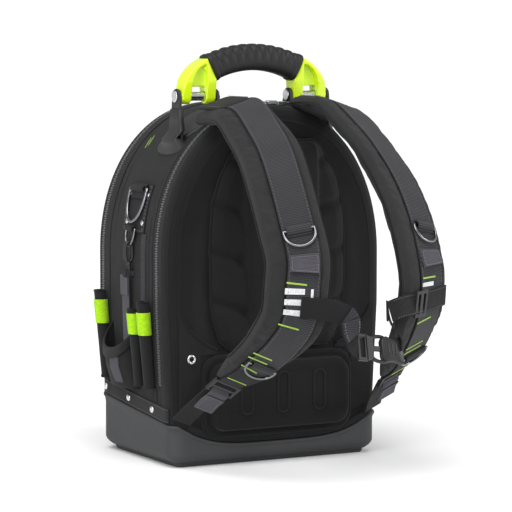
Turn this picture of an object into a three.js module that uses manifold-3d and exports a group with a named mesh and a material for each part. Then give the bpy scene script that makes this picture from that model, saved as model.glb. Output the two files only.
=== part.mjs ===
// A tool backpack with a rubber base, two arched zips, a swinging carrying handle,
// padded shoulder straps and tool pockets on its left side.
// Millimetres, +Z up. The origin is the middle of the flat underside of the base.
// The worn side faces -Y, and left and right are those of someone looking at it.

import * as THREE from 'three';
import { mergeVertices } from 'three/addons/utils/BufferGeometryUtils.js';
import Module from 'manifold-3d';

const wasm = await Module();
wasm.setup();

// Driving dimensions of the bag
const bodyWidth = 296;
const bodyDepth = 206;
const domeSpring = 250;
const domeRise = 183;
const domePower = 2.1;
const clothWall = 2;
const rearRound = 16;
const frontRound = 28;
const frontSeamDepth = 31;
const frontBulge = 6;
const clearance = 0.3;

// Driving dimensions of the base
const tubWall = 3;
const tubFloor = 3;
const tubShoulder = 22;
const bodyFoot = tubShoulder + 1;
const tubTuck = 17;
const rimRear = 52;
const rimFront = 73;
const scoopHeight = 26;
const scoopHalfWidth = 133;
const scoopPower = 4;
const bandHeight = 18;
const bandThickness = 2;
const rivetRadius = 4.2;
const rivetHeight = 1.6;
// Places of the rivets, as shares of bodyDepth
const rivetPitch = 0.3155;
const rivetMiddle = 0.0534;

// Zips
const rearZipY = -78;
const zipWidth = 9;
const zipThickness = 1.5;
const zipFoot = 94;
const sliderMeet = 13;
const sliderLength = 11;
const sliderWidth = 9;
const sliderHeight = 5;
const pullLength = 24;
const pullWidth = 7;
const pullThickness = 2;

// Pads on the worn side
const backPadHalfWidth = 92;
const backPadFoot = 142;
const backPadTop = 392;
const backPadThickness = 11;
const spineHalfWidth = 52;
const spineRise = 6;
const chevronDepth = 5;
const lumbarHalfWidth = 103;
const lumbarFoot = 34;
const lumbarTop = 135;
const lumbarRim = 7;
const lumbarThickness = 20;
const lumbarStep = 10;
const slotPitch = 50;
const slotWidth = 14;
const slotFoot = 64;
const slotTop = 112;
const panelThickness = 2.4;
const panelTop = 186;
const panelOuter = 132;
const eyeletX = 117;
const eyeletZ = 132;
const eyeletHole = 3.2;

// Carrying handle, its brackets and pins
const pivotY = -40;
const pivotRise = 12;
const pivotZ = domeSpring + domeRise + pivotRise;
const gripRise = 65;
const gripTop = pivotZ + gripRise;
const gripThickness = 35;
const gripRadius = 155;
const gripAngle = 26;
const gripDepth = 32;
const coreInset = 9;
const coreDepth = 18;
const armOuter = 100;
const armInner = 54;
const armDepth = 26;
const armRim = 13;
const armWeb = 10;
const lugRadius = 9.5;
const pinRadius = 5.5;
const pinHeadRadius = 7.5;
const pinHeadHeight = 1.6;
const earThickness = 4;
const earClearance = 1;
const saddleThickness = 4;
const saddleInner = 44;
const saddleOuter = 112;

// Shoulder straps
const strapWidth = 74;
const strapThickness = 20;
const strapRootThickness = 16;
const strapSeatX = 60;
const strapRoll = 20;
const strapRootY = -86;
const strapReach = 209;
const webbingWidth = 38;
const webbingThickness = 2;
const webbingShift = 6;
const coverThickness = 4;
const coverWidth = 46;
const coverRear = -67;
const coverFront = -130;
const tabLength = 20;
const tabThickness = 2;
const ringWire = 3.2;
const strapRingWidth = 40;
const strapRingDrop = 22;
const strapRingStand = 1;
const keeperLength = 11;

// Adjusters at the foot of the straps
const lockLength = 20;
const lockWidth = 34;
const lockThickness = 7;
const adjusterWidth = 25;
const adjusterThickness = 2;
const tailLength = 34;

// Chest strap and its buckle
const chestWidth = 25;
const chestThickness = 2;
const chestGap = 0.5;
const buckleLength = 60;
const buckleWidth = 32;
const buckleThickness = 10;
const sliderBoxWidth = 32;
const sliderBoxLength = 20;

// Left side: ring patch, hooks, pouch and sleeves
const patchThickness = 2.5;
const patchRise = 33;
const patchHeight = 55;
const patchFoot = domeSpring + patchRise;
const patchTop = patchFoot + patchHeight;
const patchMiddle = -11;
const patchWidth = 60;
const sideRingWidth = 50;
const sideRingDrop = 44;
const sideRingWire = 4.5;
const hookLength = 44;
const hookWidth = 12;
const hookThickness = 4;
const hookBar = 2.8;
const hookNeck = 2.2;
const hookSlack = 1.6;
const hangY = -5;
const hangWidth = 19;
const pouchMiddle = 14;
const pouchWidth = 70;
const pouchReach = 28;
const pouchFoot = 88;
const pouchFront = 136;
const pouchBack = 166;
const sleeveRadius = 9.5;
const sleeveFoot = 94;
const sleeveLength = 105;
const sleeveWall = 2;
const sleeveBandThickness = 1;

// Helpers for solids

function toSolid(geometry) {
  const bare = geometry.clone();
  bare.deleteAttribute('normal');
  bare.deleteAttribute('uv');
  const merged = mergeVertices(bare, 1e-4);
  return new wasm.Manifold(new wasm.Mesh({
    numProp: 3,
    vertProperties: Float32Array.from(merged.attributes.position.array),
    triVerts: Uint32Array.from(merged.index.array),
  }));
}

function toGeometry(solid) {
  const mesh = solid.getMesh();
  const geometry = new THREE.BufferGeometry();
  geometry.setAttribute('position', new THREE.BufferAttribute(mesh.vertProperties, 3));
  geometry.setIndex(new THREE.BufferAttribute(mesh.triVerts, 1));
  return geometry;
}

function join(first, ...others) {
  return toGeometry(others.reduce((sum, other) => sum.add(toSolid(other)), toSolid(first)));
}

function cut(first, ...others) {
  return toGeometry(others.reduce((rest, other) => rest.subtract(toSolid(other)), toSolid(first)));
}

function common(first, second) {
  return toGeometry(toSolid(first).intersect(toSolid(second)));
}

function signedVolume(points, faces) {
  let sum = 0;
  const cross = new THREE.Vector3();
  for (const [a, b, c] of faces) {
    sum += points[a].dot(cross.crossVectors(points[b], points[c]));
  }
  return sum / 6;
}

// A closed body from points and triangles, with its faces turned outwards.
function body(points, faces) {
  const turned = signedVolume(points, faces) < 0 ? faces.map(([a, b, c]) => [a, c, b]) : faces;
  const geometry = new THREE.BufferGeometry();
  geometry.setAttribute('position', new THREE.Float32BufferAttribute(points.flatMap((p) => [p.x, p.y, p.z]), 3));
  geometry.setIndex(turned.flat());
  return geometry;
}

// A body through rings of equal point counts: capped at both ends, or closed on itself.
function loft(rings, closed = false) {
  const count = rings[0].length;
  const points = rings.flat().map((p) => p.clone());
  const faces = [];
  const last = closed ? rings.length : rings.length - 1;
  for (let i = 0; i < last; i += 1) {
    const here = i * count;
    const next = ((i + 1) % rings.length) * count;
    for (let j = 0; j < count; j += 1) {
      const k = (j + 1) % count;
      faces.push([here + j, here + k, next + k], [here + j, next + k, next + j]);
    }
  }
  if (!closed) {
    for (const [ring, flip] of [[0, true], [rings.length - 1, false]]) {
      const middle = points.length;
      points.push(rings[ring].reduce((sum, p) => sum.add(p), new THREE.Vector3()).divideScalar(count));
      for (let j = 0; j < count; j += 1) {
        const a = ring * count + j;
        const b = ring * count + ((j + 1) % count);
        faces.push(flip ? [middle, b, a] : [middle, a, b]);
      }
    }
  }
  return body(points, faces);
}

function mirrored(geometry) {
  const copy = geometry.index ? geometry.clone() : mergeVertices(geometry.clone());
  copy.scale(-1, 1, 1);
  const index = Array.from(copy.index.array);
  for (let i = 0; i < index.length; i += 3) {
    [index[i + 1], index[i + 2]] = [index[i + 2], index[i + 1]];
  }
  copy.setIndex(index);
  return copy;
}

// Prisms: a shape in one plane, run along the axis that the name gives.
function prismY(shape, y0, y1, curveSegments = 8) {
  const solid = new THREE.ExtrudeGeometry(shape, { depth: y1 - y0, bevelEnabled: false, curveSegments });
  return solid.rotateX(Math.PI / 2).translate(0, y1, 0);
}

function prismX(shape, x0, x1, curveSegments = 8) {
  const solid = new THREE.ExtrudeGeometry(shape, { depth: x1 - x0, bevelEnabled: false, curveSegments });
  return solid.rotateZ(Math.PI / 2).rotateY(Math.PI / 2).translate(x0, 0, 0);
}

function prismZ(shape, z0, z1, curveSegments = 8) {
  const solid = new THREE.ExtrudeGeometry(shape, { depth: z1 - z0, bevelEnabled: false, curveSegments });
  return solid.translate(0, 0, z0);
}

function shapeOf(points) {
  return new THREE.Shape(points.map(([a, b]) => new THREE.Vector2(a, b)));
}

function roundedShape(halfWidth, low, high, radius) {
  const shape = new THREE.Shape();
  shape.moveTo(-halfWidth + radius, low);
  shape.lineTo(halfWidth - radius, low);
  shape.absarc(halfWidth - radius, low + radius, radius, -Math.PI / 2, 0);
  shape.absarc(halfWidth - radius, high - radius, radius, 0, Math.PI / 2);
  shape.absarc(-halfWidth + radius, high - radius, radius, Math.PI / 2, Math.PI);
  shape.absarc(-halfWidth + radius, low + radius, radius, Math.PI, 1.5 * Math.PI);
  return shape;
}

function box(x0, x1, y0, y1, z0, z1) {
  const solid = new THREE.BoxGeometry(x1 - x0, y1 - y0, z1 - z0);
  return solid.translate((x0 + x1) / 2, (y0 + y1) / 2, (z0 + z1) / 2);
}

function rodX(radius, x0, x1, y, z, sides = 12) {
  const solid = new THREE.CylinderGeometry(radius, radius, x1 - x0, sides);
  return solid.rotateZ(Math.PI / 2).translate((x0 + x1) / 2, y, z);
}

const degrees = (angle) => (angle * Math.PI) / 180;
const mix = (a, b, t) => a + (b - a) * t;

// The arched outline of the bag, seen from the worn side

const halfWidth = bodyWidth / 2;
const rearY = -bodyDepth / 2;
const frontY = bodyDepth / 2;

// Half widths below the dome, as shares of half the body's width.
const sideTable = [
  { height: 0, share: 0.94 },
  { height: bodyFoot, share: 0.945 },
  { height: rimRear, share: 0.953 },
  { height: 0.76 * domeSpring, share: 1 },
  { height: domeSpring, share: 1 },
];

function sideHalfWidth(z) {
  const row = sideTable.findIndex((entry) => entry.height >= z);
  if (row <= 0) return halfWidth * sideTable[0].share;
  const a = sideTable[row - 1];
  const b = sideTable[row];
  return halfWidth * mix(a.share, b.share, (z - a.height) / (b.height - a.height));
}

function domeHeight(x) {
  return domeSpring + domeRise * (1 - (Math.abs(x) / halfWidth) ** domePower) ** (1 / domePower);
}

function domeHalfWidth(z) {
  return halfWidth * (1 - ((z - domeSpring) / domeRise) ** domePower) ** (1 / domePower);
}

// The outward direction of the outline at a point of the right half of the dome.
function domeNormal(x, z) {
  const across = (x / halfWidth) ** (domePower - 1) / halfWidth;
  const up = ((z - domeSpring) / domeRise) ** (domePower - 1) / domeRise;
  return new THREE.Vector2(across, up).normalize();
}

function outlinePoint(z, lift) {
  if (z <= domeSpring) return new THREE.Vector2(sideHalfWidth(z) + lift, z);
  const x = domeHalfWidth(z);
  return new THREE.Vector2(x, z).addScaledVector(domeNormal(x, z), lift);
}

const domeSteps = 9;

// Right foot to left foot over the top, moved outwards by lift.
function archOutline(lift, foot) {
  const right = [];
  for (const z of [foot, ...sideTable.map((row) => row.height).filter((h) => h > foot && h < domeSpring)]) {
    right.push(outlinePoint(z, lift));
  }
  for (let i = 0; i < domeSteps; i += 1) {
    const turn = (i / domeSteps) * (Math.PI / 2);
    const x = halfWidth * Math.cos(turn) ** (2 / domePower);
    const z = domeSpring + domeRise * Math.sin(turn) ** (2 / domePower);
    right.push(new THREE.Vector2(x, z).addScaledVector(domeNormal(x, z), lift));
  }
  const left = right.map((p) => new THREE.Vector2(-p.x, p.y)).reverse();
  return [...right, new THREE.Vector2(0, domeSpring + domeRise + lift), ...left];
}

function archRing(y, lift, foot) {
  return archOutline(lift, foot).map((p) => new THREE.Vector3(p.x, y, p.y));
}

// An arched wall from foot to foot, between two lifts and two depths.
function archStrip(liftLow, liftHigh, y0, y1, foot) {
  const outer = archOutline(liftHigh, foot);
  const inner = archOutline(liftLow, foot).reverse();
  return prismY(new THREE.Shape([...outer, ...inner]), y0, y1);
}

// The rings of a face with a rounded edge, from the face inwards.
function roundedRings(face, direction, radius, lift, foot, steps = 3) {
  const rings = [];
  for (let i = 0; i <= steps; i += 1) {
    const turn = (i / steps) * (Math.PI / 2);
    const y = face + direction * radius * (1 - Math.cos(turn));
    rings.push(archRing(y, lift - radius * (1 - Math.sin(turn)), foot));
  }
  return rings;
}

// Fabric covers and the gusset between them

const seamGap = clearance / 2;
const frontSeamY = frontY - frontSeamDepth;

// The face of a cover inside its rounded edge: flat near the edge, crowned by bulge in the middle.
function crownRings(face, radius, foot, bulge) {
  const middle = (rimFront + domeSpring + domeRise) / 2;
  const table = [
    { inwards: 0.36, bulge: 1, low: 52 },
    { inwards: 0.04, bulge: 0, low: 26 },
  ];
  return table.map((row) => archRing(face, -radius, foot).map((p) => new THREE.Vector3(
    p.x * (1 - row.inwards),
    face + bulge * row.bulge,
    Math.max(mix(p.z, middle, row.inwards), rimFront + row.low),
  )));
}

// A dish whose face is at one end and whose rim is open, with its foot open too.
function coverDish(face, direction, radius, seam, bulge) {
  const openFoot = bodyFoot - 3 * clothWall;
  const innerFace = face + direction * clothWall;
  const crown = bulge ? crownRings(face, radius, bodyFoot, bulge) : [];
  const innerCrown = bulge ? crownRings(innerFace, radius, openFoot, bulge) : [];
  const outer = loft([
    ...crown,
    ...roundedRings(face, direction, radius, 0, bodyFoot),
    archRing(seam, 0, bodyFoot),
  ]);
  const inner = loft([
    ...innerCrown,
    ...roundedRings(innerFace, direction, radius - clothWall, -clothWall, openFoot),
    archRing(seam + direction * clothWall, -clothWall, openFoot),
  ]);
  return cut(outer, inner);
}

const rearCover = coverDish(rearY, 1, rearRound, rearZipY - seamGap, 0);
const frontCover = coverDish(frontY, -1, frontRound, frontSeamY + seamGap, frontBulge);
const centreBand = archStrip(-clothWall, 0, rearZipY + seamGap, frontSeamY - seamGap, bodyFoot);

// Zips

function zipStrip(y) {
  return archStrip(clearance, clearance + zipThickness, y - zipWidth / 2, y + zipWidth / 2, zipFoot);
}

// A slider on the crown of the rear zip, with its pull lying along the zip.
function zipSlider(direction) {
  const outline = archOutline(zipThickness + 2 * clearance, zipFoot);
  const crown = outline[(outline.length - 1) / 2];
  const beside = outline[(outline.length - 3) / 2];
  const near = sliderMeet + direction;
  const far = near + direction * sliderLength;
  const seat = mix(crown.y, beside.y, Math.min(near, far) / beside.x);
  const end = far + direction * pullLength;
  const block = box(Math.min(near, far), Math.max(near, far), rearZipY - sliderWidth / 2,
    rearZipY + sliderWidth / 2, seat, seat + sliderHeight);
  const pullLow = seat + sliderHeight - pullThickness - 1;
  const root = far - direction * 2;
  const pull = box(Math.min(root, end), Math.max(root, end), rearZipY - pullWidth / 2,
    rearZipY + pullWidth / 2, pullLow, pullLow + pullThickness);
  return join(block, pull);
}

// Base tub

// Height as a share of the shoulder's, and tuck as a share of the tuck at the foot.
const tubTable = [
  { rise: 0, tuck: 1 },
  { rise: 0.1, tuck: 0.94 },
  { rise: 0.28, tuck: 0.72 },
  { rise: 0.55, tuck: 0.3 },
  { rise: 0.8, tuck: 0.07 },
  { rise: 1, tuck: 0 },
];

// A plan ring round the bag at one height, moved outwards by lift.
function planRing(z, lift, steps = 3) {
  const width = sideHalfWidth(z) + lift;
  const corners = [
    { x: width, y: rearY - lift, radius: rearRound + lift, from: -90 },
    { x: width, y: frontY + lift, radius: frontRound + lift, from: 0 },
    { x: -width, y: frontY + lift, radius: frontRound + lift, from: 90 },
    { x: -width, y: rearY - lift, radius: rearRound + lift, from: 180 },
  ];
  const ring = [];
  for (const corner of corners) {
    const centreX = corner.x - Math.sign(corner.x) * corner.radius;
    const centreY = corner.y - Math.sign(corner.y) * corner.radius;
    for (let i = 0; i <= steps; i += 1) {
      const turn = degrees(corner.from + (90 * i) / steps);
      ring.push(new THREE.Vector3(centreX + corner.radius * Math.cos(turn),
        centreY + corner.radius * Math.sin(turn), z));
    }
  }
  return ring;
}

function rimHeight(y) {
  return mix(rimRear, rimFront, (y - rearY) / bodyDepth);
}

const beyond = 40;
const tubOut = clearance + tubWall;

// Everything above the sloping rim, and above the dip on the worn side.
function aboveRim() {
  const slope = shapeOf([
    [rearY - beyond, rimHeight(rearY - beyond)],
    [frontY + beyond, rimHeight(frontY + beyond)],
    [frontY + beyond, rimFront + beyond],
    [rearY - beyond, rimFront + beyond],
  ]);
  const dip = [[scoopHalfWidth, rimFront + beyond], [-scoopHalfWidth, rimFront + beyond]];
  const steps = 12;
  for (let i = 0; i <= steps; i += 1) {
    const x = mix(-scoopHalfWidth, scoopHalfWidth, i / steps);
    const share = Math.abs(x / scoopHalfWidth) ** scoopPower;
    dip.push([x, mix(scoopHeight, rimRear, share)]);
  }
  const reach = rearY + rearRound;
  return join(prismX(slope, -bodyWidth, bodyWidth), prismY(shapeOf(dip), rearY - beyond, reach));
}

function baseTub() {
  const top = rimFront + beyond / 2;
  const rows = tubTable.map((row) => ({ z: row.rise * tubShoulder, tuck: row.tuck * tubTuck }));
  const outer = loft([
    ...rows.map((row) => planRing(row.z, tubOut - row.tuck)),
    planRing(rimRear, tubOut),
    planRing(top, tubOut),
  ]);
  const inside = rows.filter((row) => row.z > tubFloor);
  const inner = loft([
    planRing(tubFloor, clearance - 0.94 * tubTuck),
    ...inside.map((row) => planRing(row.z, clearance - row.tuck)),
    planRing(rimRear, clearance),
    planRing(top + 1, clearance),
  ]);
  return cut(outer, inner, aboveRim());
}

function baseBand() {
  const low = rimRear - beyond / 4;
  const high = rimFront + beyond;
  const rings = (lift, margin) => [low - margin, rimRear, high + margin].map((z) => planRing(z, lift));
  const wall = cut(loft(rings(clearance + bandThickness, 0)), loft(rings(clearance, 1)));
  const end = rearY + rearRound / 2;
  const slope = shapeOf([
    [end, rimHeight(end) + 1],
    [frontY + beyond, rimHeight(frontY + beyond) + 1],
    [frontY + beyond, rimHeight(frontY + beyond) + 1 + bandHeight],
    [end, rimHeight(end) + 1 + bandHeight],
  ]);
  return common(wall, prismX(slope, -bodyWidth, bodyWidth));
}

// A domed rivet head on the band of the right side.
function rivet(place) {
  const y = (rivetMiddle + place * rivetPitch) * bodyDepth;
  const z = rimHeight(y) + 1 + bandHeight / 2;
  const seat = sideHalfWidth(z + rivetRadius) + bandThickness + 2 * clearance;
  const profile = [[0, 0], [rivetRadius, 0], [rivetRadius, 0.4 * rivetHeight],
    [0.7 * rivetRadius, 0.85 * rivetHeight], [0, rivetHeight]];
  const head = new THREE.LatheGeometry(profile.map(([r, h]) => new THREE.Vector2(r, h)), 8);
  return head.rotateZ(-Math.PI / 2).translate(seat, y, z);
}

// Pads on the worn side

const padBack = rearY - clearance;

// Half widths of the back pad by height, as shares of its named sizes.
const backPadTable = [
  { up: 0, wide: 0.74, spine: 0.62 },
  { up: 0.04, wide: 0.86, spine: 0.7 },
  { up: 0.16, wide: 0.97, spine: 0.8 },
  { up: 0.34, wide: 1, spine: 0.88 },
  { up: 0.55, wide: 1, spine: 0.95 },
  { up: 0.7, wide: 0.97, spine: 1 },
  { up: 0.82, wide: 0.87, spine: 1 },
  { up: 0.92, wide: 0.72, spine: 1 },
  { up: 0.975, wide: 0.62, spine: 0.96 },
  { up: 1, wide: 0.52, spine: 0.82 },
];

function tableAt(table, key, field, value) {
  const row = table.findIndex((entry) => entry[key] >= value);
  if (row <= 0) return table[0][field];
  const a = table[row - 1];
  const b = table[row];
  return mix(a[field], b[field], (value - a[key]) / (b[key] - a[key]));
}

// How far the pad stands out at a place: a raised spine, and lobes parted by chevron grooves.
function backPadRelief(across, up, halfWide) {
  const edge = Math.min(1, (halfWide - Math.abs(across)) / 14) ** 0.5;
  const ends = Math.min(1, up / 0.05, (1 - up) / 0.04) ** 0.5;
  const spine = spineHalfWidth * tableAt(backPadTable, 'up', 'spine', up);
  const onSpine = THREE.MathUtils.smoothstep(spine + 5 - Math.abs(across), 0, 10);
  const phase = up * 4.2 + 0.5 - Math.abs(across) / (2.1 * backPadHalfWidth);
  const groove = Math.exp(-(((phase - Math.round(phase)) / 0.11) ** 2));
  const lobes = (1 - onSpine) * groove * chevronDepth;
  return (backPadThickness - lobes + onSpine * spineRise) * (0.35 + 0.65 * Math.min(edge, ends));
}

function backPad() {
  const rows = 22;
  const columns = 14;
  const points = [];
  const faces = [];
  for (let i = 0; i <= rows; i += 1) {
    const up = i / rows;
    const halfWide = backPadHalfWidth * tableAt(backPadTable, 'up', 'wide', up);
    const z = mix(backPadFoot, backPadTop, up);
    for (let j = 0; j <= columns; j += 1) {
      const across = halfWide * Math.sin((j / columns - 0.5) * Math.PI);
      points.push(new THREE.Vector3(across, padBack - backPadRelief(across, up, halfWide), z));
    }
  }
  const front = points.length;
  const stride = columns + 1;
  const edge = [];
  for (let j = 0; j < columns; j += 1) edge.push(j);
  for (let i = 0; i < rows; i += 1) edge.push(i * stride + columns);
  for (let j = columns; j > 0; j -= 1) edge.push(rows * stride + j);
  for (let i = rows; i > 0; i -= 1) edge.push(i * stride);
  for (let i = 0; i < rows; i += 1) {
    for (let j = 0; j < columns; j += 1) {
      const a = i * stride + j;
      faces.push([a, a + 1, a + stride + 1], [a, a + stride + 1, a + stride]);
    }
  }
  for (const index of edge) points.push(points[index].clone().setY(padBack));
  const middle = points.length;
  points.push(new THREE.Vector3(0, padBack, (backPadFoot + backPadTop) / 2));
  edge.forEach((index, k) => {
    const next = (k + 1) % edge.length;
    faces.push([index, front + k, front + next], [index, front + next, edge[next]]);
    faces.push([front + k, middle, front + next]);
  });
  return body(points, faces);
}

// A slab with a rounded outline and a stepped, bevelled edge.
function slabRing(halfWide, low, high, radius, y) {
  const shape = roundedShape(halfWide, low, high, radius);
  return shape.getPoints(3).slice(0, -1).map((p) => new THREE.Vector3(p.x, y, p.y));
}

function lumbarPad() {
  const step = (inset, out) => slabRing(lumbarHalfWidth - inset, lumbarFoot + inset, lumbarTop - inset,
    22 - inset / 2, padBack - out);
  const slab = loft([
    step(0, 0),
    step(0, 0.6 * lumbarRim),
    step(2, lumbarRim),
    step(lumbarStep - 1, lumbarRim),
    step(lumbarStep, 0.85 * lumbarThickness),
    step(lumbarStep + 3, lumbarThickness),
  ]);
  const slots = [-1, 0, 1].map((place) => {
    const slot = roundedShape(slotWidth / 2, slotFoot, slotTop, slotWidth / 2 - 0.01);
    return prismY(slot, padBack - lumbarThickness - 1, padBack + 1, 3).translate(place * slotPitch, 0, 0);
  });
  return cut(slab, ...slots);
}

// Corner panel beside the lumbar pad, on the right. Its upper edge sweeps down to the pad.
function hipPanel() {
  const inner = lumbarHalfWidth + 2 * clearance;
  const overPad = lumbarTop + 2 * clearance;
  const shape = new THREE.Shape();
  shape.moveTo(inner, rimRear + 4);
  shape.lineTo(panelOuter, rimRear + 14);
  shape.lineTo(panelOuter, panelTop);
  shape.quadraticCurveTo(0.86 * panelOuter, mix(overPad, panelTop, 0.35), 0.62 * panelOuter, overPad + 6);
  shape.lineTo(0.62 * panelOuter, overPad);
  shape.lineTo(inner, overPad);
  const hole = new THREE.Path();
  hole.absarc(eyeletX, eyeletZ, eyeletHole + clearance, 0, 2 * Math.PI, true);
  shape.holes.push(hole);
  return prismY(shape, padBack - panelThickness, padBack, 4);
}

// Carrying handle

const gripCentreZ = gripTop - gripRadius;
const gripInner = gripRadius - gripThickness;

function arcPoint(radius, angle) {
  return [radius * Math.sin(angle), gripCentreZ + radius * Math.cos(angle)];
}

// A rectangle with cut corners run along the arc of the grip.
function arcSweep(low, high, depth, corner, angle, steps) {
  const section = [
    [low, -depth / 2 + corner], [low + corner, -depth / 2], [high - corner, -depth / 2], [high, -depth / 2 + corner],
    [high, depth / 2 - corner], [high - corner, depth / 2], [low + corner, depth / 2], [low, depth / 2 - corner],
  ];
  const rings = [];
  for (let i = 0; i <= steps; i += 1) {
    const turn = mix(-angle, angle, i / steps);
    rings.push(section.map(([radius, y]) => {
      const [x, z] = arcPoint(radius, turn);
      return new THREE.Vector3(x, pivotY + y, z);
    }));
  }
  return loft(rings);
}

const gripTurn = degrees(gripAngle);
const coreLow = gripInner + coreInset;
const coreHigh = gripRadius - coreInset;

function handleGrip() {
  const outside = arcSweep(gripInner, gripRadius, gripDepth, 7, gripTurn, 10);
  const hollow = arcSweep(coreLow - clearance, coreHigh + clearance, coreDepth + 2 * clearance, 3,
    gripTurn + 0.05, 10);
  return cut(outside, hollow);
}

// One arm, on the right: two rims joined by a web, with a fork at its foot round the pin.
function handleArm() {
  const startTurn = gripTurn + clearance / gripInner;
  const outerStart = arcPoint(gripRadius - 3, startTurn);
  const innerStart = arcPoint(gripInner + 3, startTurn);
  const foot = pivotZ - lugRadius;
  const shape = new THREE.Shape();
  shape.moveTo(armInner, foot);
  shape.lineTo(armOuter, foot);
  shape.lineTo(armOuter, pivotZ + 2);
  shape.bezierCurveTo(armOuter - 1, mix(pivotZ, gripTop, 0.34), mix(outerStart[0], armOuter, 0.6),
    mix(pivotZ, gripTop, 0.58), outerStart[0], outerStart[1]);
  shape.lineTo(innerStart[0], innerStart[1]);
  shape.quadraticCurveTo(armInner, mix(pivotZ, innerStart[1], 0.6), armInner, pivotZ);
  const side = new THREE.Shape();
  const half = armDepth / 2;
  side.absarc(pivotY, pivotZ, lugRadius, Math.PI, 2 * Math.PI);
  side.lineTo(pivotY + half, pivotZ + 1.4 * half);
  side.lineTo(pivotY + half, gripTop);
  side.lineTo(pivotY - half, gripTop);
  side.lineTo(pivotY - half, pivotZ + 1.4 * half);
  const arm = common(prismY(shape, pivotY - half, pivotY + half, 6), prismX(side, 0, armOuter + 1, 6));
  const pocketLow = armInner + armRim;
  const pocketHigh = armOuter - armRim;
  const webFoot = pivotZ + lugRadius + 2;
  const pocket = new THREE.Shape();
  pocket.moveTo(pocketLow, foot - 1);
  pocket.lineTo(pocketHigh, foot - 1);
  pocket.lineTo(pocketHigh, webFoot);
  pocket.quadraticCurveTo(pocketHigh - 1, mix(webFoot, outerStart[1], 0.62), outerStart[0] + 1,
    mix(webFoot, outerStart[1], 0.8));
  pocket.quadraticCurveTo(pocketLow - 1, mix(webFoot, outerStart[1], 0.55), pocketLow, webFoot);
  const near = prismY(pocket, pivotY - half - 1, pivotY - armWeb / 2, 4);
  const far = prismY(pocket, pivotY + armWeb / 2, pivotY + half + 1, 4);
  const fork = box(pocketLow, pocketHigh, pivotY - half - 1, pivotY + half + 1, foot - 1, webFoot);
  const bore = rodX(pinRadius + clearance, armInner - 1, armOuter + 1, pivotY, pivotZ);
  return cut(arm, near, far, fork, bore);
}

function handleFrame() {
  const core = arcSweep(coreLow, coreHigh, coreDepth, 3, gripTurn + 0.06, 10);
  const arm = handleArm();
  return join(core, arm, mirrored(arm));
}

// A saddle bracket on the right shoulder: a curved plate with two ears.
function bracket() {
  const steps = 8;
  const low = [];
  const high = [];
  for (let i = 0; i <= steps; i += 1) {
    const x = mix(saddleInner, saddleOuter, i / steps);
    const point = new THREE.Vector2(x, domeHeight(x));
    const normal = domeNormal(point.x, point.y);
    low.push(point.clone().addScaledVector(normal, clearance));
    high.push(point.clone().addScaledVector(normal, clearance + saddleThickness));
  }
  const plate = prismY(new THREE.Shape([...low, ...high.reverse()]), pivotY - 60, pivotY + 60);
  const reach = saddleOuter - saddleInner;
  const plan = new THREE.Shape(new THREE.SplineCurve([
    [0, -0.42], [0.3, -0.46], [0.66, -0.3], [0.95, 0.02], [1.12, 0.22], [0.98, 0.48], [0.5, 0.6], [0, 0.56],
    [-0.06, 0],
  ].map(([out, along]) => new THREE.Vector2(saddleInner + 3 + (out * 0.9) * reach, pivotY + along * reach))
    .concat([new THREE.Vector2(saddleInner + 3, pivotY - 0.42 * reach)])).getPoints(14).slice(0, -1));
  const saddle = common(plate, prismZ(plan, domeSpring, pivotZ, 1));
  const ear = (x0) => {
    const base = domeHeight(x0) + clearance + saddleThickness / 2;
    const side = new THREE.Shape();
    side.absarc(pivotY, pivotZ, lugRadius, 0, Math.PI);
    side.lineTo(pivotY - 1.7 * lugRadius, base);
    side.lineTo(pivotY + 1.7 * lugRadius, base);
    return prismX(side, x0, x0 + earThickness, 4);
  };
  const bore = rodX(pinRadius + clearance, saddleInner, saddleOuter, pivotY, pivotZ);
  const ears = join(ear(armOuter + earClearance), ear(armInner - earClearance - earThickness));
  return cut(join(saddle, ears), bore);
}

function pin() {
  const inner = armInner - earClearance - earThickness - clearance;
  const outer = armOuter + earClearance + earThickness + clearance;
  return join(
    rodX(pinRadius, inner - 0.5, outer + 0.5, pivotY, pivotZ),
    rodX(pinHeadRadius, outer, outer + pinHeadHeight, pivotY, pivotZ),
    rodX(pinHeadRadius, inner - pinHeadHeight, inner, pivotY, pivotZ),
  );
}

// Shoulder straps, on the right

// The root of the strap lies on the dome: the middle of its outer face, and its roll there.
const seatNormal = domeNormal(strapSeatX, domeHeight(strapSeatX));
const seatLift = strapRootThickness + clearance;
const strapRootX = strapSeatX + seatNormal.x * seatLift;
const strapTop = domeHeight(strapSeatX) + seatNormal.y * seatLift;
const rootRoll = Math.atan2(seatNormal.x, seatNormal.y);

// Middle of the strap's outer face: out as a share of half the body's width, beyond the root,
// reach as a share of the strap's reach from the worn face, and height as a share of its top.
const strapTable = [
  { out: 0, reach: (rearY - strapRootY) / strapReach, height: 1 },
  { out: 0, reach: 0.06, height: 1.004 },
  { out: 0.005, reach: 0.2, height: 1 },
  { out: 0.03, reach: 0.42, height: 0.943 },
  { out: 0.05, reach: 0.58, height: 0.889 },
  { out: 0.088, reach: 0.752, height: 0.806 },
  { out: 0.108, reach: 0.895, height: 0.706 },
  { out: 0.108, reach: 0.985, height: 0.616 },
  { out: 0.128, reach: 1, height: 0.545 },
  { out: 0.134, reach: 0.962, height: 0.452 },
  { out: 0.176, reach: 0.833, height: 0.381 },
  { out: 0.263, reach: 0.6, height: 0.3 },
];

const strapCurve = new THREE.CatmullRomCurve3(strapTable.map((row) => new THREE.Vector3(
  strapRootX + row.out * halfWidth, rearY - row.reach * strapReach, row.height * strapTop)));

const unitX = new THREE.Vector3(1, 0, 0);

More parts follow.
